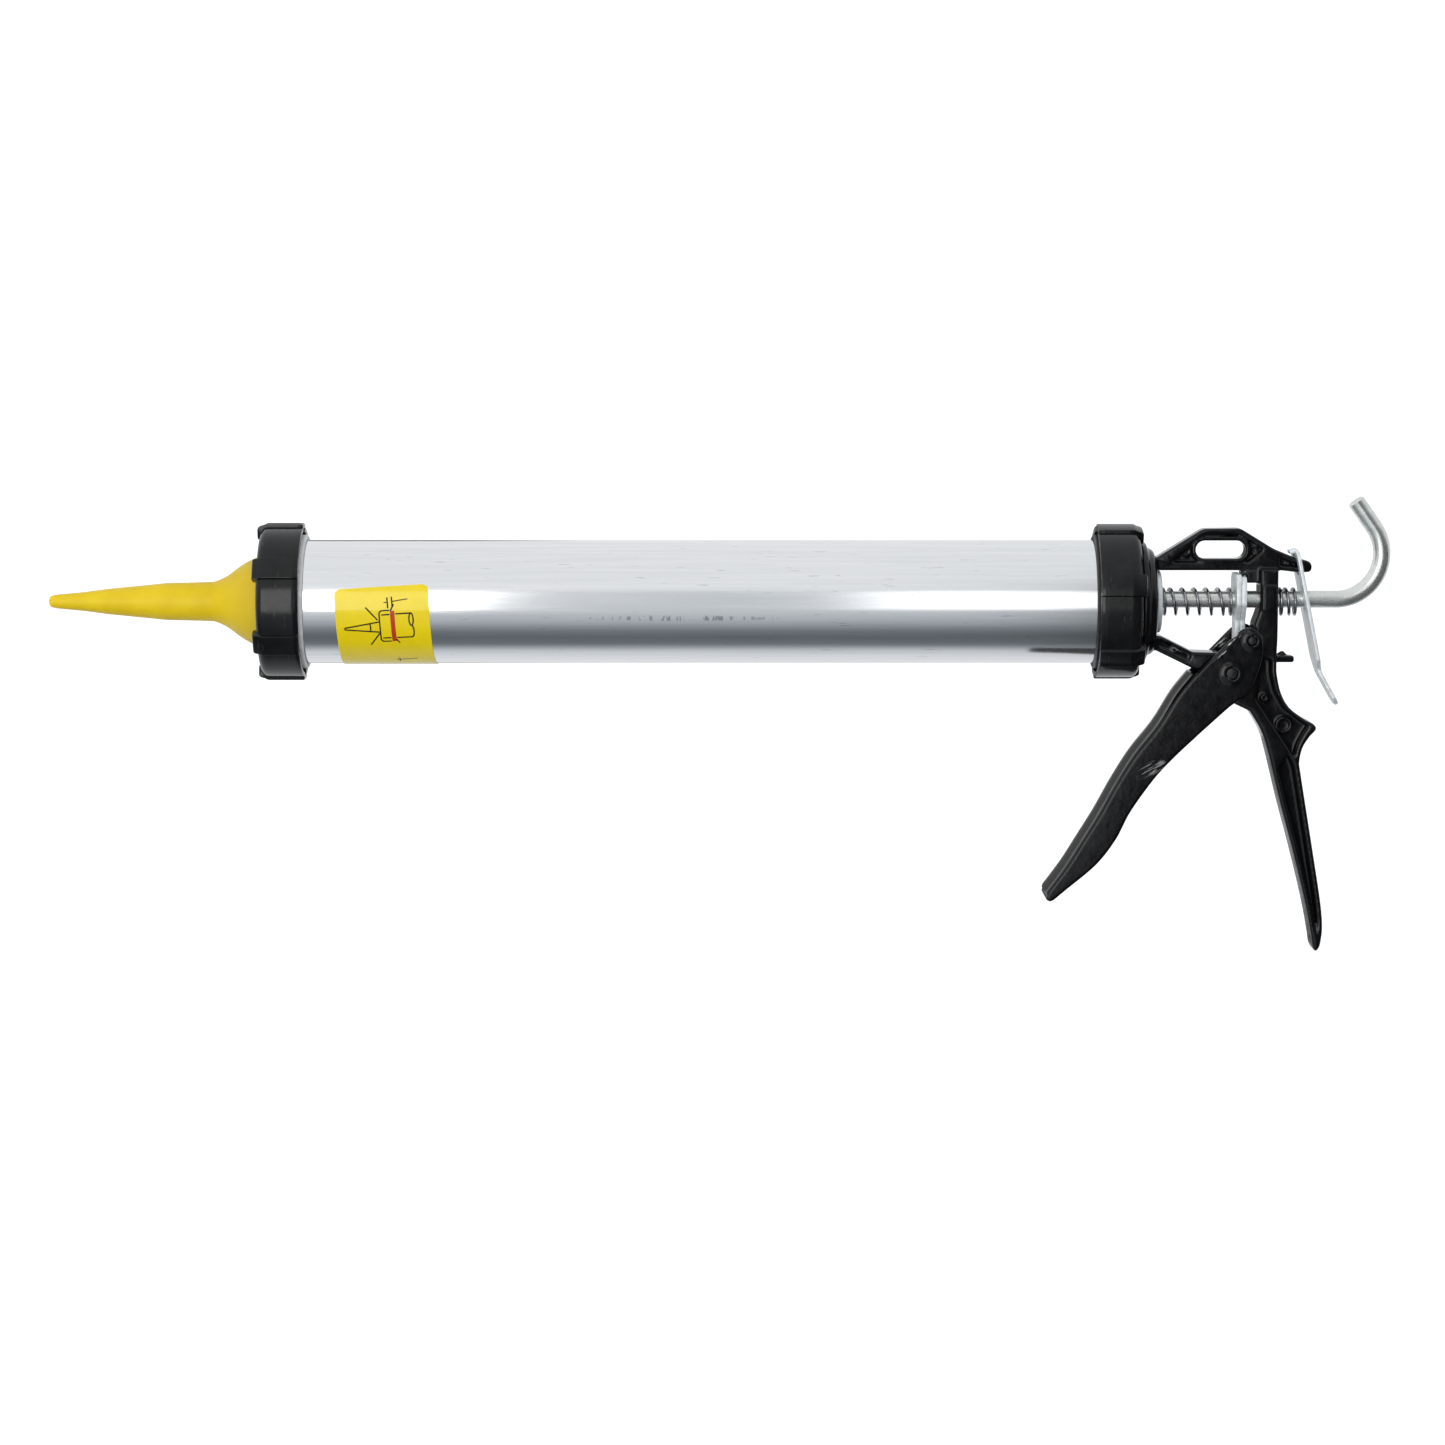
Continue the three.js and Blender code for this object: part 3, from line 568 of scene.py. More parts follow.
def label_shape():
    """A film round the barrel with rounded corners, laid a little askew."""
    width, wrap, corner = LABEL["width"], LABEL["wrap"], LABEL["corner"]
    arc = math.radians(wrap) * LABEL_RADIUS
    rows = 48
    columns = 12
    lower, upper = [], []
    for i in range(rows + 1):
        down = arc * i / rows
        inset = 0.0
        for edge in (down, arc - down):
            if edge < corner:
                inset = corner - math.sqrt(max(corner**2 - (corner - edge) ** 2, 0))
        for j in range(columns + 1):
            across = inset + (width - 2 * inset) * j / columns
            x, degrees = label_place(across, down)
            lower.append(on_barrel(x, degrees, LABEL_RADIUS - 0.2))
            upper.append(on_barrel(x, degrees, LABEL_RADIUS))
    return sheet_between(lower, upper, rows, columns)


def label_place(across, down):
    """Where a point of the label lies: how far along the barrel, and its angle."""
    x = LABEL["front"] + across + LABEL["skew"] * down
    top = LABEL["top"] + LABEL["slant"] * across / LABEL["width"]
    return x, top - math.degrees(down / LABEL_RADIUS)


def sheet_between(lower, upper, rows, columns):
    """A closed film between two grids of points."""
    count = len(lower)
    faces = []
    wide = columns + 1
    for i in range(rows):
        for j in range(columns):
            a = i * wide + j
            quad = (a, a + 1, a + 1 + wide, a + wide)
            faces += [quad, tuple(count + k for k in reversed(quad))]
    rim = [*range(wide), *[i * wide + columns for i in range(1, rows + 1)]]
    rim += [rows * wide + j for j in reversed(range(columns))]
    rim += [i * wide for i in reversed(range(1, rows))]
    for a, b in zip(rim, rim[1:] + rim[:1]):
        faces.append((a, b, count + b, count + a))
    return lower + upper, faces


def ribbon(points, width, radius):
    """A thin printed line on the barrel's label, through points of (x, angle in degrees)."""
    lower, upper = [], []
    for i, (x, degrees) in enumerate(points):
        before, after = points[max(i - 1, 0)], points[min(i + 1, len(points) - 1)]
        run = Vector((after[0] - before[0], math.radians(after[1] - before[1]) * radius)).normalized()
        for side in (-0.5, 0.5):
            shift = Vector((-run.y, run.x)) * width * side
            spot = (x + shift.x, degrees + math.degrees(shift.y / radius))
            lower.append(on_barrel(*spot, LABEL_RADIUS - 0.05))
            upper.append(on_barrel(*spot, radius))
    return sheet_between(lower, upper, len(points) - 1, 1)


def drawn_line(points, steps=4):
    """A line of the sketch as (x, angle), cut short enough to follow the barrel."""
    points = [label_place(along, down) for along, down in points]
    made = []
    for (x0, a0), (x1, a1) in zip(points, points[1:]):
        made += [(x0 + (x1 - x0) * k / steps, a0 + (a1 - a0) * k / steps) for k in range(steps)]
    return [*made, points[-1]]


# The label's sketch, measured from the label's upper front corner: along the barrel, then down round it.
SKETCH_AXIS = 17.5
SKETCH_NOZZLE = {
    "tip": 3.5, "mark": 14.6, "root": 18.6, "tip_half": 0.4, "mark_half": 2.0, "root_half": 2.4,
}
SKETCH_CAP = {"front": 18.6, "rear": 23, "half": 7.2, "inner_half": 5.4}
SKETCH_TUBE = {"front": 25.4, "rear": 32, "half": 5.5, "oval": 0.9}
BOLD_LINE, FINE_LINE = 0.6, 0.42


def mirrored_pair(points):
    """A line of (along, distance from the sketch's axis) and its mirror image below the axis."""
    return [[(x, SKETCH_AXIS - side * half) for x, half in points] for side in (1, -1)]


def sketch_oval(side, turns):
    """One loop of the break at the tube's end: the upper one at -1 and the lower one at +1."""
    quarter = SKETCH_TUBE["half"] / 2
    middle = SKETCH_AXIS + side * quarter
    rear, oval = SKETCH_TUBE["rear"], SKETCH_TUBE["oval"]
    return [(rear + oval * math.cos(a), middle + quarter * math.sin(a)) for a in turns]


def sketch_lines():
    """A plain side view of a nozzle, a cap and a tube with a measured gap between them."""
    nose, cap, tube = SKETCH_NOZZLE, SKETCH_CAP, SKETCH_TUBE
    point = [(nose["tip"], 0), (nose["tip"] + 0.2, nose["tip_half"])]
    bold = mirrored_pair([*point, (nose["root"], nose["root_half"])])
    bold += mirrored_pair([(nose["mark"], 0), (nose["mark"] - 0.2, nose["mark_half"])])
    corner = [(cap["front"], 0), (cap["front"], cap["half"] - 0.9), (cap["front"] + 0.9, cap["half"])]
    bold += mirrored_pair([*corner, (cap["rear"], cap["half"])])
    bold += mirrored_pair([(cap["front"] + 0.9, cap["inner_half"]), (cap["rear"], cap["inner_half"])])
    bold += mirrored_pair([(tube["front"], tube["half"]), (tube["rear"], tube["half"])])
    turns = [k * math.pi / 8 for k in range(17)]
    bold += [sketch_oval(-1, turns), sketch_oval(1, turns[12:] + turns[1:5])]
    leaders = [[(13, 8.5), (17.8, 14.3)], [(14, 26.2), (18.2, 20.4)]]
    leaders += [[(25, 7.8), (23.4, 10.6)], [(26.4, 25.8), (25, 23.8)]]
    ticks = [[(22.3, 4.8), (22.5, 9.4)], [(24.2, 4.6), (24.4, 9.2)]]
    arrows = [[(24.3, 6.6), (31, 5.9)], [(20.8, 6.9), (22.3, 6.8)]]
    foot = [[(23.7, 38.2), (32.6, 37.4)], [(25, 36.4), (25, 40)]]
    return bold + leaders + ticks, arrows + foot


def print_shapes():
    bold, fine = sketch_lines()
    radius = LABEL_RADIUS + 0.05
    lines = [ribbon(drawn_line(line), BOLD_LINE, radius) for line in bold]
    return merged(*lines, *[ribbon(drawn_line(line), FINE_LINE, radius) for line in fine])


def gap_band_shape():
    """The coloured band in the sketch's gap."""
    middle = (SKETCH_CAP["rear"] + SKETCH_TUBE["front"]) / 2
    return ribbon(drawn_line([(middle, 10.6), (middle, 24.8)], 12), 1.9, LABEL_RADIUS + 0.04)


# ---- Screw caps ----


def smooth_step(low, high, value):
    t = min(max((value - low) / (high - low), 0.0), 1.0)
    return t * t * (3 - 2 * t)


# Each row is (depth, radius) between the ribs, then the same at a rib. Depth counts from the mouth.
CAP_OUTSIDE = [
    ((0.3, 30.25), (0.3, 31.45)), ((0, 30.6), (0, 31.8)), ((0, 32.1), (0, 33.35)),
    ((0.15, 32.4), (0.15, 33.65)), ((0.5, 32.6), (0.5, 33.85)), ((3, 32.6), (3, 33.85)),
    ((8, 32.6), (8, 33.85)), ((13, 32.6), (13, 33.85)),
    ((15.2, 32.6), (15.4, 33.85)), ((16.3, 32.3), (16.3, 33.6)), ((17.0, 31.75), (17.2, 33.1)),
    ((17.6, 31.05), (18.6, 32.75)), ((17.95, 30.3), (19.4, 32.3)), ((18.1, 29.4), (19.7, 31.7)),
    ((18.1, 28.4), (19.7, 28.4)), ((18.1, 27.7), (19.5, 27.5)), ((18.1, 26.9), (18.1, 26.9)),
]
CAP_INSIDE = [
    ((15.8, 28.8), (15.8, 31.1)), ((15.5, 29.15), (15.5, 31.4)), ((9, 29.15), (9, 31.4)),
    ((3.6, 29.15), (3.6, 31.4)), ((3.0, 30.1), (3.0, 31.4)),
]
# Where the cap's rings have points, in degrees from a rib's middle.
RIB_OFFSETS = [
    0, 2.5, 4.6, 5.3, 5.7, 6.1, 6.5, 7.0, 7.5, 7.9, 8.15, 8.4, 8.65, 8.9, 9.3, 10.5, 13, 16, 19.5, 23, 26.5,
]


def cap_angles():
    """(angle, distance in degrees from the nearest rib's middle), all the way round."""
    pitch = 360 / CAP["ribs"]
    offsets = sorted({*RIB_OFFSETS, *(-offset for offset in RIB_OFFSETS[1:]), pitch / 2})
    return [(pitch * i + offset, abs(offset)) for i in range(CAP["ribs"]) for offset in offsets]


def cap_shape(cap):
    """A cap with six grip ribs, which are hollow at the mouth and stand past the end wall."""
    opening = cap["opening"]
    wall = [(18.1, opening + 0.4), (17.8, opening), (16.1, opening), (15.8, opening + 0.3)]
    rows = [*CAP_OUTSIDE, *[(place, place) for place in wall], *CAP_INSIDE]
    rings = []
    for i, (between, at_rib) in enumerate(rows):
        hollow = i >= len(CAP_OUTSIDE) + len(wall) or i < 2
        edge = CAP["mouth_half"] if hollow else CAP["rib_half"]
        ring = []
        for angle, offset in cap_angles():
            share = 1 - smooth_step(edge - CAP["rib_side"], edge + CAP["rib_side"], offset)
            depth = between[0] + (at_rib[0] - between[0]) * share
            radius = between[1] + (at_rib[1] - between[1]) * share
            turn = math.radians(angle + cap["phase"])
            across = radius * math.cos(turn) * cap["sense"]
            ring.append((cap["mouth"] + depth * cap["sense"], across, radius * math.sin(turn)))
        rings.append(ring)
    return skin(rings, closed=True)


# ---- Rod, springs, washer and pins ----


def rod_path():
    start, bend_radius = ROD["bend_start"], ROD["bend_radius"]
    bend = math.radians(ROD["bend"])
    rise = ROD["rise"]
    path = [(ROD["front"], 0, rise), (ROD["front"] + 2, 0, rise)]
    path += [(x, 0, rise) for x in (200, 300, 400, 500, start - 4)]
    for i in range(41):
        turn = bend * i / 40
        path.append((start + bend_radius * math.sin(turn), 0, rise + bend_radius * (1 - math.cos(turn))))
    end = Vector(path[-1])
    way = Vector((math.cos(bend), 0, math.sin(bend)))
    return path + [end + way * ROD["tail"] * share for share in (0.3, 0.6, 0.85, 1.0)]


def spring_path(spring):
    """A helix whose first and last coils lie closed."""
    front, rear, wire, turns = spring["front"], spring["rear"], spring["wire"], spring["turns"]
    closed = 0.8
    close_pitch = 2.1 * wire
    start, end = front + wire, rear - wire
    open_pitch = (end - start - 2 * closed * close_pitch) / (turns - 2 * closed)
    steps = turns * 30
    path = []
    for i in range(steps + 1):
        turn = turns * i / steps
        low = min(turn, closed)
        high = max(turn - (turns - closed), 0)
        x = start + (low + high) * close_pitch + (turn - low - high) * open_pitch
        angle = 2 * math.pi * turn
        path.append((x, spring["radius"] * math.cos(angle), spring["radius"] * math.sin(angle)))
    return path


def rod_bore(front, rear, radius):
    return lathe([(front, 0), (front, radius), (rear, radius), (rear, 0)], 48, ROD["rise"])


def washer_mesh():
    disc_profile = [(476.3, 0), (476.3, 13.0), (476.7, 13.4), (478.1, 13.4), (478.5, 13.0), (478.5, 0)]
    return combined(mesh_of(lathe(disc_profile, 96)), [rod_bore(475, 480, ROD_HOLE)], "DIFFERENCE")


def pin_shape(pin):
    return disc(pin["x"], pin["z"], pin["pin"], PIN_HALF, 0.5)


# ---- Frame casting ----


def flange_shape():
    """The spigot for the rear cap, then the flange in rounded steps."""
    spigot = [(457.2, 0), (457.2, 9), (458.2, 10), (469.1, 10)]
    rim = [(469.1, 25.4), (469.5, 25.8), (471.2, 25.8), (471.9, 25.4), (472.2, 24.6), (472.3, 23.6)]
    step = [(472.7, 23.3), (473.9, 22.9), (475.0, 22.2), (475.6, 21.2), (475.9, 19.9), (475.9, 0)]
    return lathe([*spigot, *rim, *step], 128)


def slot_outline(grow):
    x, z, reach, radius = SLOT["x"], SLOT["z"], SLOT["reach"], SLOT["radius"] + grow
    turns = [math.pi * i / 16 - math.pi / 2 for i in range(17)]
    right = [(x + reach + radius * math.cos(a), z + radius * math.sin(a)) for a in turns]
    return right + [(2 * x - px, 2 * z - pz) for px, pz in right]


def web_shapes():
    """The top web: a rim round recessed panels, with the slot to hang the gun from."""
    front = [(474.5, 14.2), (474.5, 18), (476.8, 19.4)]
    top = [(496.4, 31.6), (512.4, 31.8), (526.8, 23), (535.2, 19.5)]
    tail = [(537.5, 18.6), (541.5, 17.9), (543, 16.8), (543.4, 14.9), (542.6, 12.9), (536.5, 12.9)]
    outline = rounded([*front, *top, *tail, (530, WEB_BOTTOM), (475.9, WEB_BOTTOM)], 1.4)
    pocket = rounded([(482.5, 17.2), (496.9, 29.3), (511.7, 29.5), (522.4, 22.9), (515.6, 17.2)], 1.5)
    tail_pocket = rounded([(529.6, 15.8), (529.6, 19.4), (534.6, 17.2), (538.6, 16.2), (538.6, 15.2)], 0.8)
    hole = slot_outline(0)
    places = ((489.2, 21.6), (518.2, 22.4), (534.6, 16.6))
    marks = [disc(x, z, 1.9, PANEL_HALF + 0.8, 0.3, 0.9) for x, z in places]
    rim = slab([outline, pocket, tail_pocket], -WEB_HALF, WEB_HALF, 0.7)
    panel = slab([outline, hole], -PANEL_HALF, PANEL_HALF, 0.3)
    slot_rim = slab([slot_outline(SLOT["rim"]), hole], -WEB_HALF, WEB_HALF, 0.7)
    return [rim, panel, slot_rim, *marks]


def post_shapes():
    front, rear, half = POST["front"], POST["rear"], POST["half"]
    fillet = [(front, -2), (519.6, -6), (518.4, -9), (518.2, -12.5), (front, -15.5)]
    back = [(front, -24), (rear - 0.6, -24), (rear, -12), (rear, 14.5), (front, 14.5)]
    side = rounded([*back, *fillet], 0.8)
    pad = rounded([(521.8, -3.6), (527.8, -3.6), (527.8, 7.4), (521.8, 7.4)], 0.5)
    finger = [(514.5, 12.9), (512.8, 12.9), (512.8, 11.6), (515.2, 11.6)]
    arm = [(515.2, 8.3), (521, 8.3), (521, 14.2), (514.5, 14.2), *finger]
    return [
        slab([side], -half, half, 1.2),
        slab([pad], -half - 0.7, half + 0.7, 0.4),
        slab([rounded(arm, 0.4)], -WEB_HALF, WEB_HALF, 0.5),
    ]


def grip_outline():
    """Strut, pivot body and grip in one outline. The rear edge swells into a horn above the hand."""
    horn = [(528.4, -30.1), (530.2, -38.4), (533.9, -45.1), (540.2, -50), (544.4, -52.2)]
    rear = [
        (543.3, -57.5), (540.2, -62.4), (538.8, -68.6), (539.5, -74.5),
        (545.1, -107.6), (548.7, -129.6), (549.7, -140.5), (549.1, -147.2), (548.3, -149.9),
        (547.0, -151.2), (545.8, -150.2), (545.1, -147),
    ]
    front = [
        (544.9, -145.1), (542, -130.3), (536.5, -108.2), (530.5, -86.3),
        (525, -64.4), (522, -55.3), (517, -46.8),
    ]
    strut_below = [(508.5, -42.8), (503, -38.2), (499.9, -32.1), (489.4, -27), (475, -20)]
    strut_above = [(475, -14.2), (478.6, -14.4), (492.2, -21.2), (501.7, -21.5), (517.5, -21.5)]
    strut_above.append((520.8, -18.5))
    start = [(520.8, -14), (528.7, -14), (528.3, -24)]
    tip = spline_through([(544.4, -52.2), (545.8, -53.8), (545.3, -55.4), (543.3, -57.5)], 4)
    edges = [*spline_through(horn), *tip[1:-1], *spline_through(rear), *spline_through(front)]
    return [*start, *edges, *strut_below, *strut_above]


def grip_shapes():
    lower_pocket = [
        (533.7, -65.6), (536.2, -70.7), (542.5, -107), (546.2, -129), (547.3, -138.7),
        (546.9, -142.7), (544.3, -129.5), (539.1, -107.4), (533.2, -85.5), (529.6, -71.7),
    ]
    upper_pocket = [
        (519.6, -41.4), (521.8, -24.3), (526, -24.3), (525.9, -30.3), (527.8, -38.2), (531.8, -45.5),
        (538.6, -50.8), (542.4, -53.1), (540.4, -56), (537.8, -61), (536.4, -66.6),
    ]
    strut_panel = [(478.5, -15.4), (491.5, -22.2), (490.3, -25), (477.6, -18.6)]
    rib = [(514.2, -41.6), (516.1, -40.4), (534.9, -65), (533.4, -66.4)]
    outline = grip_outline()
    holes = [rounded(pocket, 1.2) for pocket in (lower_pocket, upper_pocket, strut_panel)]
    strut_core = [(476.5, -15.4), (491.9, -23.4), (491.2, -25.6), (476.5, -18.4)]
    return [
        slab([outline, *holes], -GRIP_HALF, GRIP_HALF, 1.1, steps=3),
        slab([outline], -PANEL_HALF, PANEL_HALF, 0.3),
        slab([strut_core], 1 - GRIP_HALF, GRIP_HALF - 1, 0.2),
        slab([rib], -6, 6, 0.4),
        disc(484.6, -20, 1.5, GRIP_HALF - 0.4, 0.3, 0.7),
        disc(532.4, -53.2, 3.6, PANEL_HALF + 1, 0.3, 2.5),
        disc(523.9, -41.5, 1.7, PANEL_HALF + 0.8, 0.3, 0.8),
        disc(PIVOT["x"], PIVOT["z"], 6.6, 10.9, 0.6),
    ]


def stop_shapes():
    """The peg behind the post that stops the release plate, with its gusset."""
    peg = [(527, -26), (536, -26), (536.4, -25), (536.2, -23.4), (535.4, -23.1), (527, -23.1)]
    gusset = [(527, -24), (534.4, -24), (532, -21.3), (531.2, -21.3), (528.4, -23)]
    return [slab([rounded(peg, 0.5)], -4, 4, 0.5), slab([gusset], -1.4, 1.4, 0.3)]


def casting_mesh():
    shapes = [flange_shape(), *web_shapes(), *post_shapes(), *grip_shapes(), *stop_shapes()]
    made = cast(shapes, 4, 0.4)
    pivot_hole = disc(PIVOT["x"], PIVOT["z"], PIVOT["hole"], 12, 0.1)
    return combined(made, [rod_bore(450, 531, ROD_HOLE), pivot_hole], "DIFFERENCE")


# ---- Drive plates ----


def drive_plate_shape(rear, top):
    right = [(5.5, -19.8), (5.5, -7.5), (11, -0.7), (11, top - 3), (8.4, top)]
    outline = rounded(both_halves(right), 0.9)
    return slab([outline, circle(0, ROD["rise"], PLATE_HOLE)], rear - DRIVE_PLATE, rear, 0.25, "X")


# ---- Trigger ----

# Places down the trigger: where its cheeks start at the front, and where they end.
TRIGGER_FRONT = [
    (492, -30.3), (485, -39.1), (477, -52.2), (467.1, -64.9), (459.1, -77.7), (451.8, -91), (444.1, -103.6),
    (437.4, -114.3), (429.6, -124.9),
]
TRIGGER_REAR = [
    (508.6, -43.6), (501.6, -49.8), (492.7, -58), (483.2, -67.1), (475.2, -76), (465.5, -89.8),
    (459.4, -101.7), (451, -112.7), (438.4, -123.4),
]
TRIGGER_TIP = [(432.7, -128.2), (431.1, -128.8), (429.4, -127.8)]


def trigger_wall():
    """The front wall, which bulges a little and turns round into the cheeks at its sides."""
    half, corner = TRIGGER["half"], TRIGGER["corner"]
    across = 24
    rings = []
    for front, rear in zip(spline_through(TRIGGER_FRONT, 5), spline_through(TRIGGER_REAR, 5)):
        inward = (rear - front).normalized()
        outer, inner = [], []
        for i in range(across + 1):
            share = 2 * i / across - 1
            y = half * math.sin(share * math.pi / 2)
            past = max(abs(y) - (half - corner), 0)
            bulge = TRIGGER["bulge"] * (1 - (y / half) ** 2)
            setback = corner - math.sqrt(max(corner**2 - past**2, 0)) - bulge
            place = front + inward * setback
            deep = front + inward * (TRIGGER["spine"] + past * 0.3)
            outer.append((place.x, y, place.y))
            inner.append((deep.x, y * 0.97, deep.y))
        rings.append([*outer, *reversed(inner)])
    ends = []
    for ring in (rings[0], rings[-1]):
        middle = sum((Vector(point) for point in ring), Vector()) / len(ring)
        ends.append([middle] * len(ring))
    return skin([ends[0], *rings, ends[1]])


def cheek_outline():
    """The head, the rear edge, the tip and the front edge, which lies a little inside the front wall."""
    head = [
        (510.4, -12.6), (513.2, -10.8), (516.2, -10.3), (519.2, -11.4), (521.1, -14.4), (521.6, -18.9),
        (521.2, -24.2), (519.4, -30.1), (517.1, -35.7), (514.1, -40.1),
    ]
    front = []
    for near, far in zip(spline_through(TRIGGER_FRONT), spline_through(TRIGGER_REAR)):
        front.append(near + (far - near).normalized() * 0.9)
    return [*spline_through([*head, *TRIGGER_REAR]), *TRIGGER_TIP, *reversed(front)]


def trigger_mesh():
    half, cheek = TRIGGER["half"], TRIGGER["cheek"]
    outline = cheek_outline()
    tip = [(429.9, -124.8), (434, -120), (438.2, -123.2), *TRIGGER_TIP]
    cheeks = slab_pair([outline], half - cheek, half, 0.7)
    rings = []
    for pin in (PIVOT, THRUST):
        rim = [circle(pin["x"], pin["z"], pin["hole"] + 1.3), circle(pin["x"], pin["z"], pin["hole"])]
        rings.append(slab_pair(rim, half - 1, half + 0.45, 0.25))
    made = cast([cheeks, trigger_wall(), slab([tip], 1 - half, half - 1, 0.8), *rings], 3, 0.4)
    holes = [disc(pin["x"], pin["z"], pin["hole"], half + 2, 0.1) for pin in (PIVOT, THRUST)]
    return combined(made, holes, "DIFFERENCE")


# ---- Release plate ----


def bent_back(point, start, length, bend):
    """A point of a flat plate after the plate is bent back below a level, over a length of arc."""
    past = start - point.z
    if past <= 0:
        return point
    radius = length / bend
    turn = min(past, length) / radius
    x = radius - (radius - point.x) * math.cos(turn)
    z = start - (radius - point.x) * math.sin(turn)
    rest = max(past - length, 0)
    return Vector((x + rest * math.sin(turn), point.y, z - rest * math.cos(turn)))


def release_outline():
    """The flat blank. The thumb tab's sheared edge wanders a little."""
    half, length, top = RELEASE["half"], RELEASE["length"], RELEASE["top"]
    right = [(5, top), (half - 2, top - 1), (half, top - 4), (half, 4 - length), (half - 4, -length)]
    for i in range(9):
        down = 1.5 + (RELEASE["tab"] - 4.5) * i / 8
        right.append((7 + 0.22 * noise.noise(Vector((i * 0.9, 2.3, 0))), -length - down))
    right.append((4, -length - RELEASE["tab"]))
    return rounded(both_halves(right), 0.8, 3)


def release_mesh():
    thickness, top = RELEASE["thickness"], RELEASE["top"]
    window = rounded([(5.8, -8.6), (5.8, 0), (-5.8, 0), (-5.8, -8.6)], 0.7)
    level = (ROD["rise"] - RELEASE["z"]) / math.cos(math.radians(RELEASE["tilt"]))
    hole = circle(0, level, RELEASE["hole"], 48, RELEASE["hole_height"] / RELEASE["hole"])
    blank = mesh_of(slab([release_outline(), window, hole], 0, thickness, 0.3, "X"))
    start, arc = 1 - RELEASE["length"], RELEASE["bend_arc"]
    flat = bmesh.new()
    flat.from_mesh(blank)
    for i in range(9):
        level = (start - arc * i / 8) * MM
        parts = [*flat.verts, *flat.edges, *flat.faces]
        bmesh.ops.bisect_plane(flat, geom=parts, plane_co=(0, 0, level), plane_no=(0, 0, 1), dist=1e-7)
    for vertex in flat.verts:
        vertex.co = bent_back(vertex.co / MM, start, arc, math.radians(RELEASE["bend"])) * MM
    flat.to_mesh(blank)
    flat.free()
    lip = [(4, top - thickness), (4, top), (-4, top), (-4, top - thickness)]
    made = combined(blank, [slab([rounded(lip, 0.4)], -2, 1, 0.3, "X")], "UNION")
    turn = Matrix.Rotation(math.radians(-RELEASE["tilt"]), 4, "Y")
    made.transform(Matrix.Translation(Vector((RELEASE["x"], 0, RELEASE["z"])) * MM) @ turn)
    return made


# ---- The gun's pieces ----

aluminium_finish = aluminium()
black_plastic_finish = black_plastic()
zinc_finish = zinc()
rod_finish = drawn_zinc()
spring_finish = plain("spring_finish", (0.24, 0.25, 0.26, 1), (0.5, 0.51, 0.52, 1), (0.14, 0.24), 1.0)
# Painted highlights: pale streaks along the strut's top edge and along the horn's top edge, where light
# catches them.
casting_painted_highlights = [((484.5, -19), (6, 3), -28, 0.25), ((541.5, -49.5), (6, 2.4), -28, 0.5)]
casting_finish = black_enamel("casting_finish", casting_painted_highlights)
trigger_wear = [((505.5, -17.6), (11, 3.2), 44, 1.0), ((474, -71), (9, 3), 28, 0.4)]
trigger_finish = black_enamel("trigger_finish", trigger_wear)
collar_finish = plain("collar_finish", rgb(206, 208, 210), rgb(232, 233, 234), (0.35, 0.5))
# Painted shade: the rear collar is the same part as the front one, coloured dark for the shade in the rear
# cap's mouth.
painted_shade_collar_finish = plain("painted_shade_collar_finish", rgb(22, 23, 25), rgb(40, 41, 43), (0.3, 0.45))
pin_finish = plain("pin_finish", (0.008, 0.008, 0.009, 1), (0.02, 0.02, 0.021, 1), (0.2, 0.35))
cup_finish = plain("cup_finish", rgb(214, 214, 208), rgb(232, 232, 226), (0.4, 0.5))
ink_finish = plain("ink_finish", rgb(16, 14, 3), rgb(28, 25, 6), (0.5, 0.6))
band_finish = plain("band_finish", rgb(176, 48, 6), rgb(192, 60, 10), (0.3, 0.4))

piece("nozzle_body", mesh_of(nozzle_shape()), yellow_plastic(), "nozzle", ["nozzle"])
tube_mesh = mesh_of(tube_shape())
piece("barrel_tube_body", tube_mesh, aluminium_finish, "barrel", ["barrel_tube"])
collars = (("front", FRONT_COLLAR, 1, collar_finish), ("rear", REAR_COLLAR, -1, painted_shade_collar_finish))
for end, place, outer_end, material in collars:
    collar_mesh = mesh_of(collar_shape(place, outer_end))
    piece(end + "_collar_body", collar_mesh, material, "barrel", [end + "_thread_collar"])
piece("label_sheet", mesh_of(label_shape()), label_film(), "barrel", ["label"])
piece("label_sketch", mesh_of(print_shapes()), ink_finish, "barrel")
piece("label_gap_band", mesh_of(gap_band_shape()), band_finish, "barrel")
for name, cap in (("front_cap", FRONT_CAP), ("rear_cap", REAR_CAP)):
    piece(name + "_body", mesh_of(cap_shape(cap)), black_plastic_finish, name, [name])

rod_mesh = mesh_of(sweep(rod_path(), ROD["radius"], 40, 0.8))
piece("rod_body", rod_mesh, rod_finish, "rod", ["piston_rod"])
piece("washer_body", washer_mesh(), zinc_finish, "frame", ["spring_seat_washer"])
for pin, body, name in ((PIVOT, "frame", "trigger_pivot_pin"), (THRUST, "trigger", "thrust_pin")):
    piece(name + "_body", mesh_of(pin_shape(pin)), pin_finish, body, [name])

springs = (
    ("drive_spring", DRIVE_SPRING, "trigger_pull", 0.62),
    ("release_spring", RELEASE_SPRING, "release_tilt", 0.6),
)
for name, spring, joint, kept in springs:
    coil = mesh_of(sweep(spring_path(spring), spring["wire"], 12, 0.15))
    coil = piece(name + "_coil", coil, spring_finish, "frame", [name])
    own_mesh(coil)

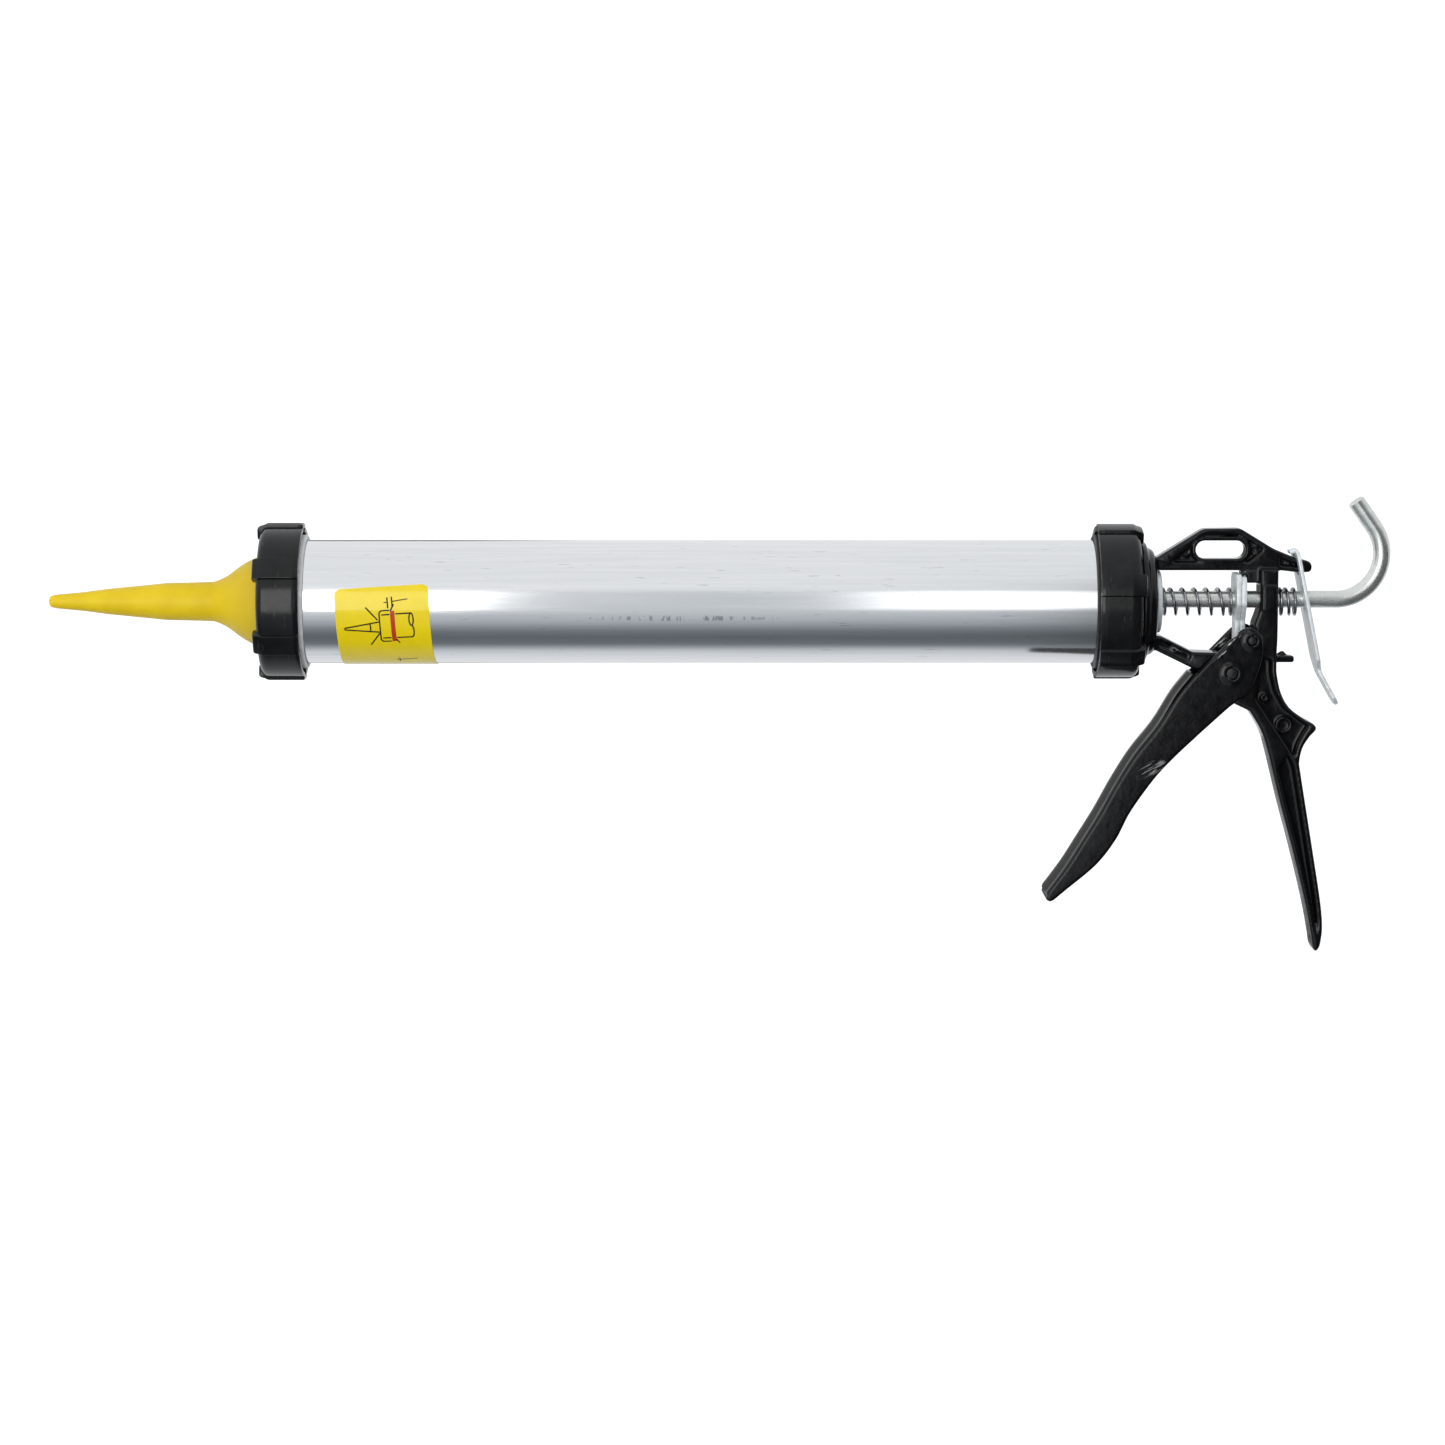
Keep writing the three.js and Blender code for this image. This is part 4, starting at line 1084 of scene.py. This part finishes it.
cast_pieces = (
    ("frame_casting", casting_mesh(), casting_finish, "frame"),
    ("trigger", trigger_mesh(), trigger_finish, "trigger"),
)
for name, mesh, material, body in cast_pieces:
    piece(name + "_body", mesh, material, body, [name], crease=60)
for name, rear, top in (("drive_plate_rear", 514.8, 11.3), ("drive_plate_front", 512.55, 12.4)):
    plate = mesh_of(drive_plate_shape(rear, top))
    piece(name + "_body", plate, zinc_finish, "drive_plates", [name])
piece("release_plate_body", release_mesh(), zinc_finish, "release_plate", ["release_plate"])

inner_nodes = {
    "piston_front_nut": zinc_finish, "piston_front_washer": zinc_finish, "piston_cup": cup_finish,
    "piston_backing_plate": zinc_finish, "piston_rear_nut": zinc_finish, "cap_retaining_nut": zinc_finish,
    "cap_washer": zinc_finish,
}
for name, material in inner_nodes.items():
    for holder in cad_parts[name].material_slots:
        holder.material = material

# ---- Floor, light and camera ----

LIGHT_DISTANCE = 1.9


def studio_floor():
    """A pale floor under the gun, left out of reflections so that the gun shows the room's own light."""
    level = cad_box[0].z
    reach = 12
    corners = [(reach * x, reach * y, level) for x, y in ((-1, -1), (1, -1), (1, 1), (-1, 1))]
    mesh = bpy.data.meshes.new("studio_floor")
    mesh.from_pydata(corners, [], [(0, 1, 2, 3)])
    material = bpy.data.materials.new("studio_floor_finish")
    material.use_nodes = True
    principled(material, {"Base Color": (0.35, 0.35, 0.35, 1), "Roughness": 0.9})
    principled(material, {"Emission Color": (1, 1, 1, 1), "Emission Strength": 0.85})
    mesh.materials.append(material)
    floor = added("studio_floor", mesh)
    floor.visible_glossy = False
    floor.visible_diffuse = False
    floor.visible_shadow = False


# How bright the room is, by the angle round the barrel's axis from the front: 90 is up and -90 is down.
ROOM = [
    (-180, 0.86), (-165, 0.82), (-140, 0.8), (-118, 0.74), (-102, 0.62), (-93, 0.4), (-83, 0.17),
    (-66, 0.13), (-53, 0.18), (-44, 0.28), (-35, 0.42), (-26, 0.5), (-14, 0.6), (20, 0.61), (27, 0.84),
    (90, 0.84), (180, 0.86),
]
# The same further round to the trigger's side, where the room is dark in front.
DARK_SIDE = [
    (-180, 0.8), (-165, 0.8), (-140, 0.74), (-118, 0.5), (-106, 0.2), (-95, 0.04), (-70, 0.02),
    (-48, 0.02), (-30, 0.02), (-14, 0.02), (8, 0.02), (24, 0.2), (50, 0.66), (90, 0.8), (180, 0.8),
]


def room_ramp(tree, turn, levels):
    ramp = node(tree, "ValToRGB", {0: turn})
    marks = ramp.color_ramp.elements
    while len(marks) < len(levels):
        marks.new(0.5)
    for mark, (degrees, value) in zip(marks, levels):
        mark.position = (degrees + 180) / 360
    for mark, (degrees, value) in zip(marks, levels):
        chill = 0.12 * (1 - value)
        mark.color = (value * (1 - chill), value, value * (1 + chill), 1)
    return ramp.outputs["Color"]


def studio_room():
    """A pale room with a soft top, darker in front and below, and a plain white background.

    It is dark straight behind the gun's front as well, for the front walls of the trigger and the grip.
    """
    world = bpy.data.worlds.new("studio_room")
    bpy.context.scene.world = world
    world.use_nodes = True
    tree = world.node_tree
    way = node(tree, "SeparateXYZ", {0: node(tree, "TexCoord").outputs["Generated"]}).outputs
    front = times(tree, way["Y"], -1.0)
    angle = node(tree, "Math", {0: way["Z"], 1: front}, operation="ARCTAN2").outputs[0]
    turn = ranged(tree, angle, -math.pi, math.pi)
    side = ranged(tree, way["X"], 0.09, 0.102)
    room = mixed(tree, side, room_ramp(tree, turn, ROOM), room_ramp(tree, turn, DARK_SIDE))
    behind = times(tree, ranged(tree, way["X"], -0.035, -0.065), ranged(tree, way["Y"], 0.93, 0.96))
    room = mixed(tree, behind, room, (0.14, 0.14, 0.14, 1))
    seen = node(tree, "LightPath").outputs["Is Camera Ray"]
    colour = mixed(tree, seen, room, (1, 1, 1, 1))
    tree.links.new(colour, tree.nodes["Background"].inputs["Color"])


def soft_box(name, left, right, low, high, radiance, colour=(1, 1, 1)):
    """A soft box in front of the gun, between two places along it and two heights, in metres."""
    light = bpy.data.lights.new(name, "AREA")
    light.shape = "RECTANGLE"
    light.size, light.size_y = right - left, high - low
    light.energy = radiance * math.pi * light.size * light.size_y
    light.color = colour
    made = added(name, light)
    made.location = ((left + right) / 2, -LIGHT_DISTANCE, (low + high) / 2)
    made.rotation_euler = (math.radians(90), 0, 0)
    made.visible_camera = False
    return made


def studio_camera():
    """The gun seen side on, from slightly above its own level."""
    distance, pitch, x, drop = 1.770, math.radians(6), 0.29006, -0.05215
    half_view = 0.311398
    camera = bpy.data.cameras.new("camera")
    camera.sensor_width = 36
    camera.lens = camera.sensor_width / 2 * distance / half_view
    camera.clip_end = 100
    made = added("camera", camera)
    made.location = (
        x,
        drop * math.sin(pitch) - distance * math.cos(pitch),
        drop * math.cos(pitch) + distance * math.sin(pitch),
    )
    made.rotation_euler = (math.radians(90) - pitch, 0, 0)
    bpy.context.scene.camera = made


studio_floor()
studio_room()
warm = (1, 0.985, 0.96)
soft_box("soft_box_left", -1.0, 0.055, -0.4, 0.8, 2.8, warm)
soft_box("soft_box_right", 0.42, 0.6, -0.36, 0.8, 0.95)
soft_box("soft_box_far", 0.55, 0.64, -0.26, 0.8, 1.4, warm)
for name, low, high, radiance in (("upper_fill", 0.2, 2.2, 0.55), ("lower_fill", -1.8, -0.1, 1.1)):
    fill = soft_box(name, -1.6, 2.2, low, high, radiance)
    fill.visible_glossy = False
studio_camera()
bpy.context.scene.view_settings.view_transform = "Standard"
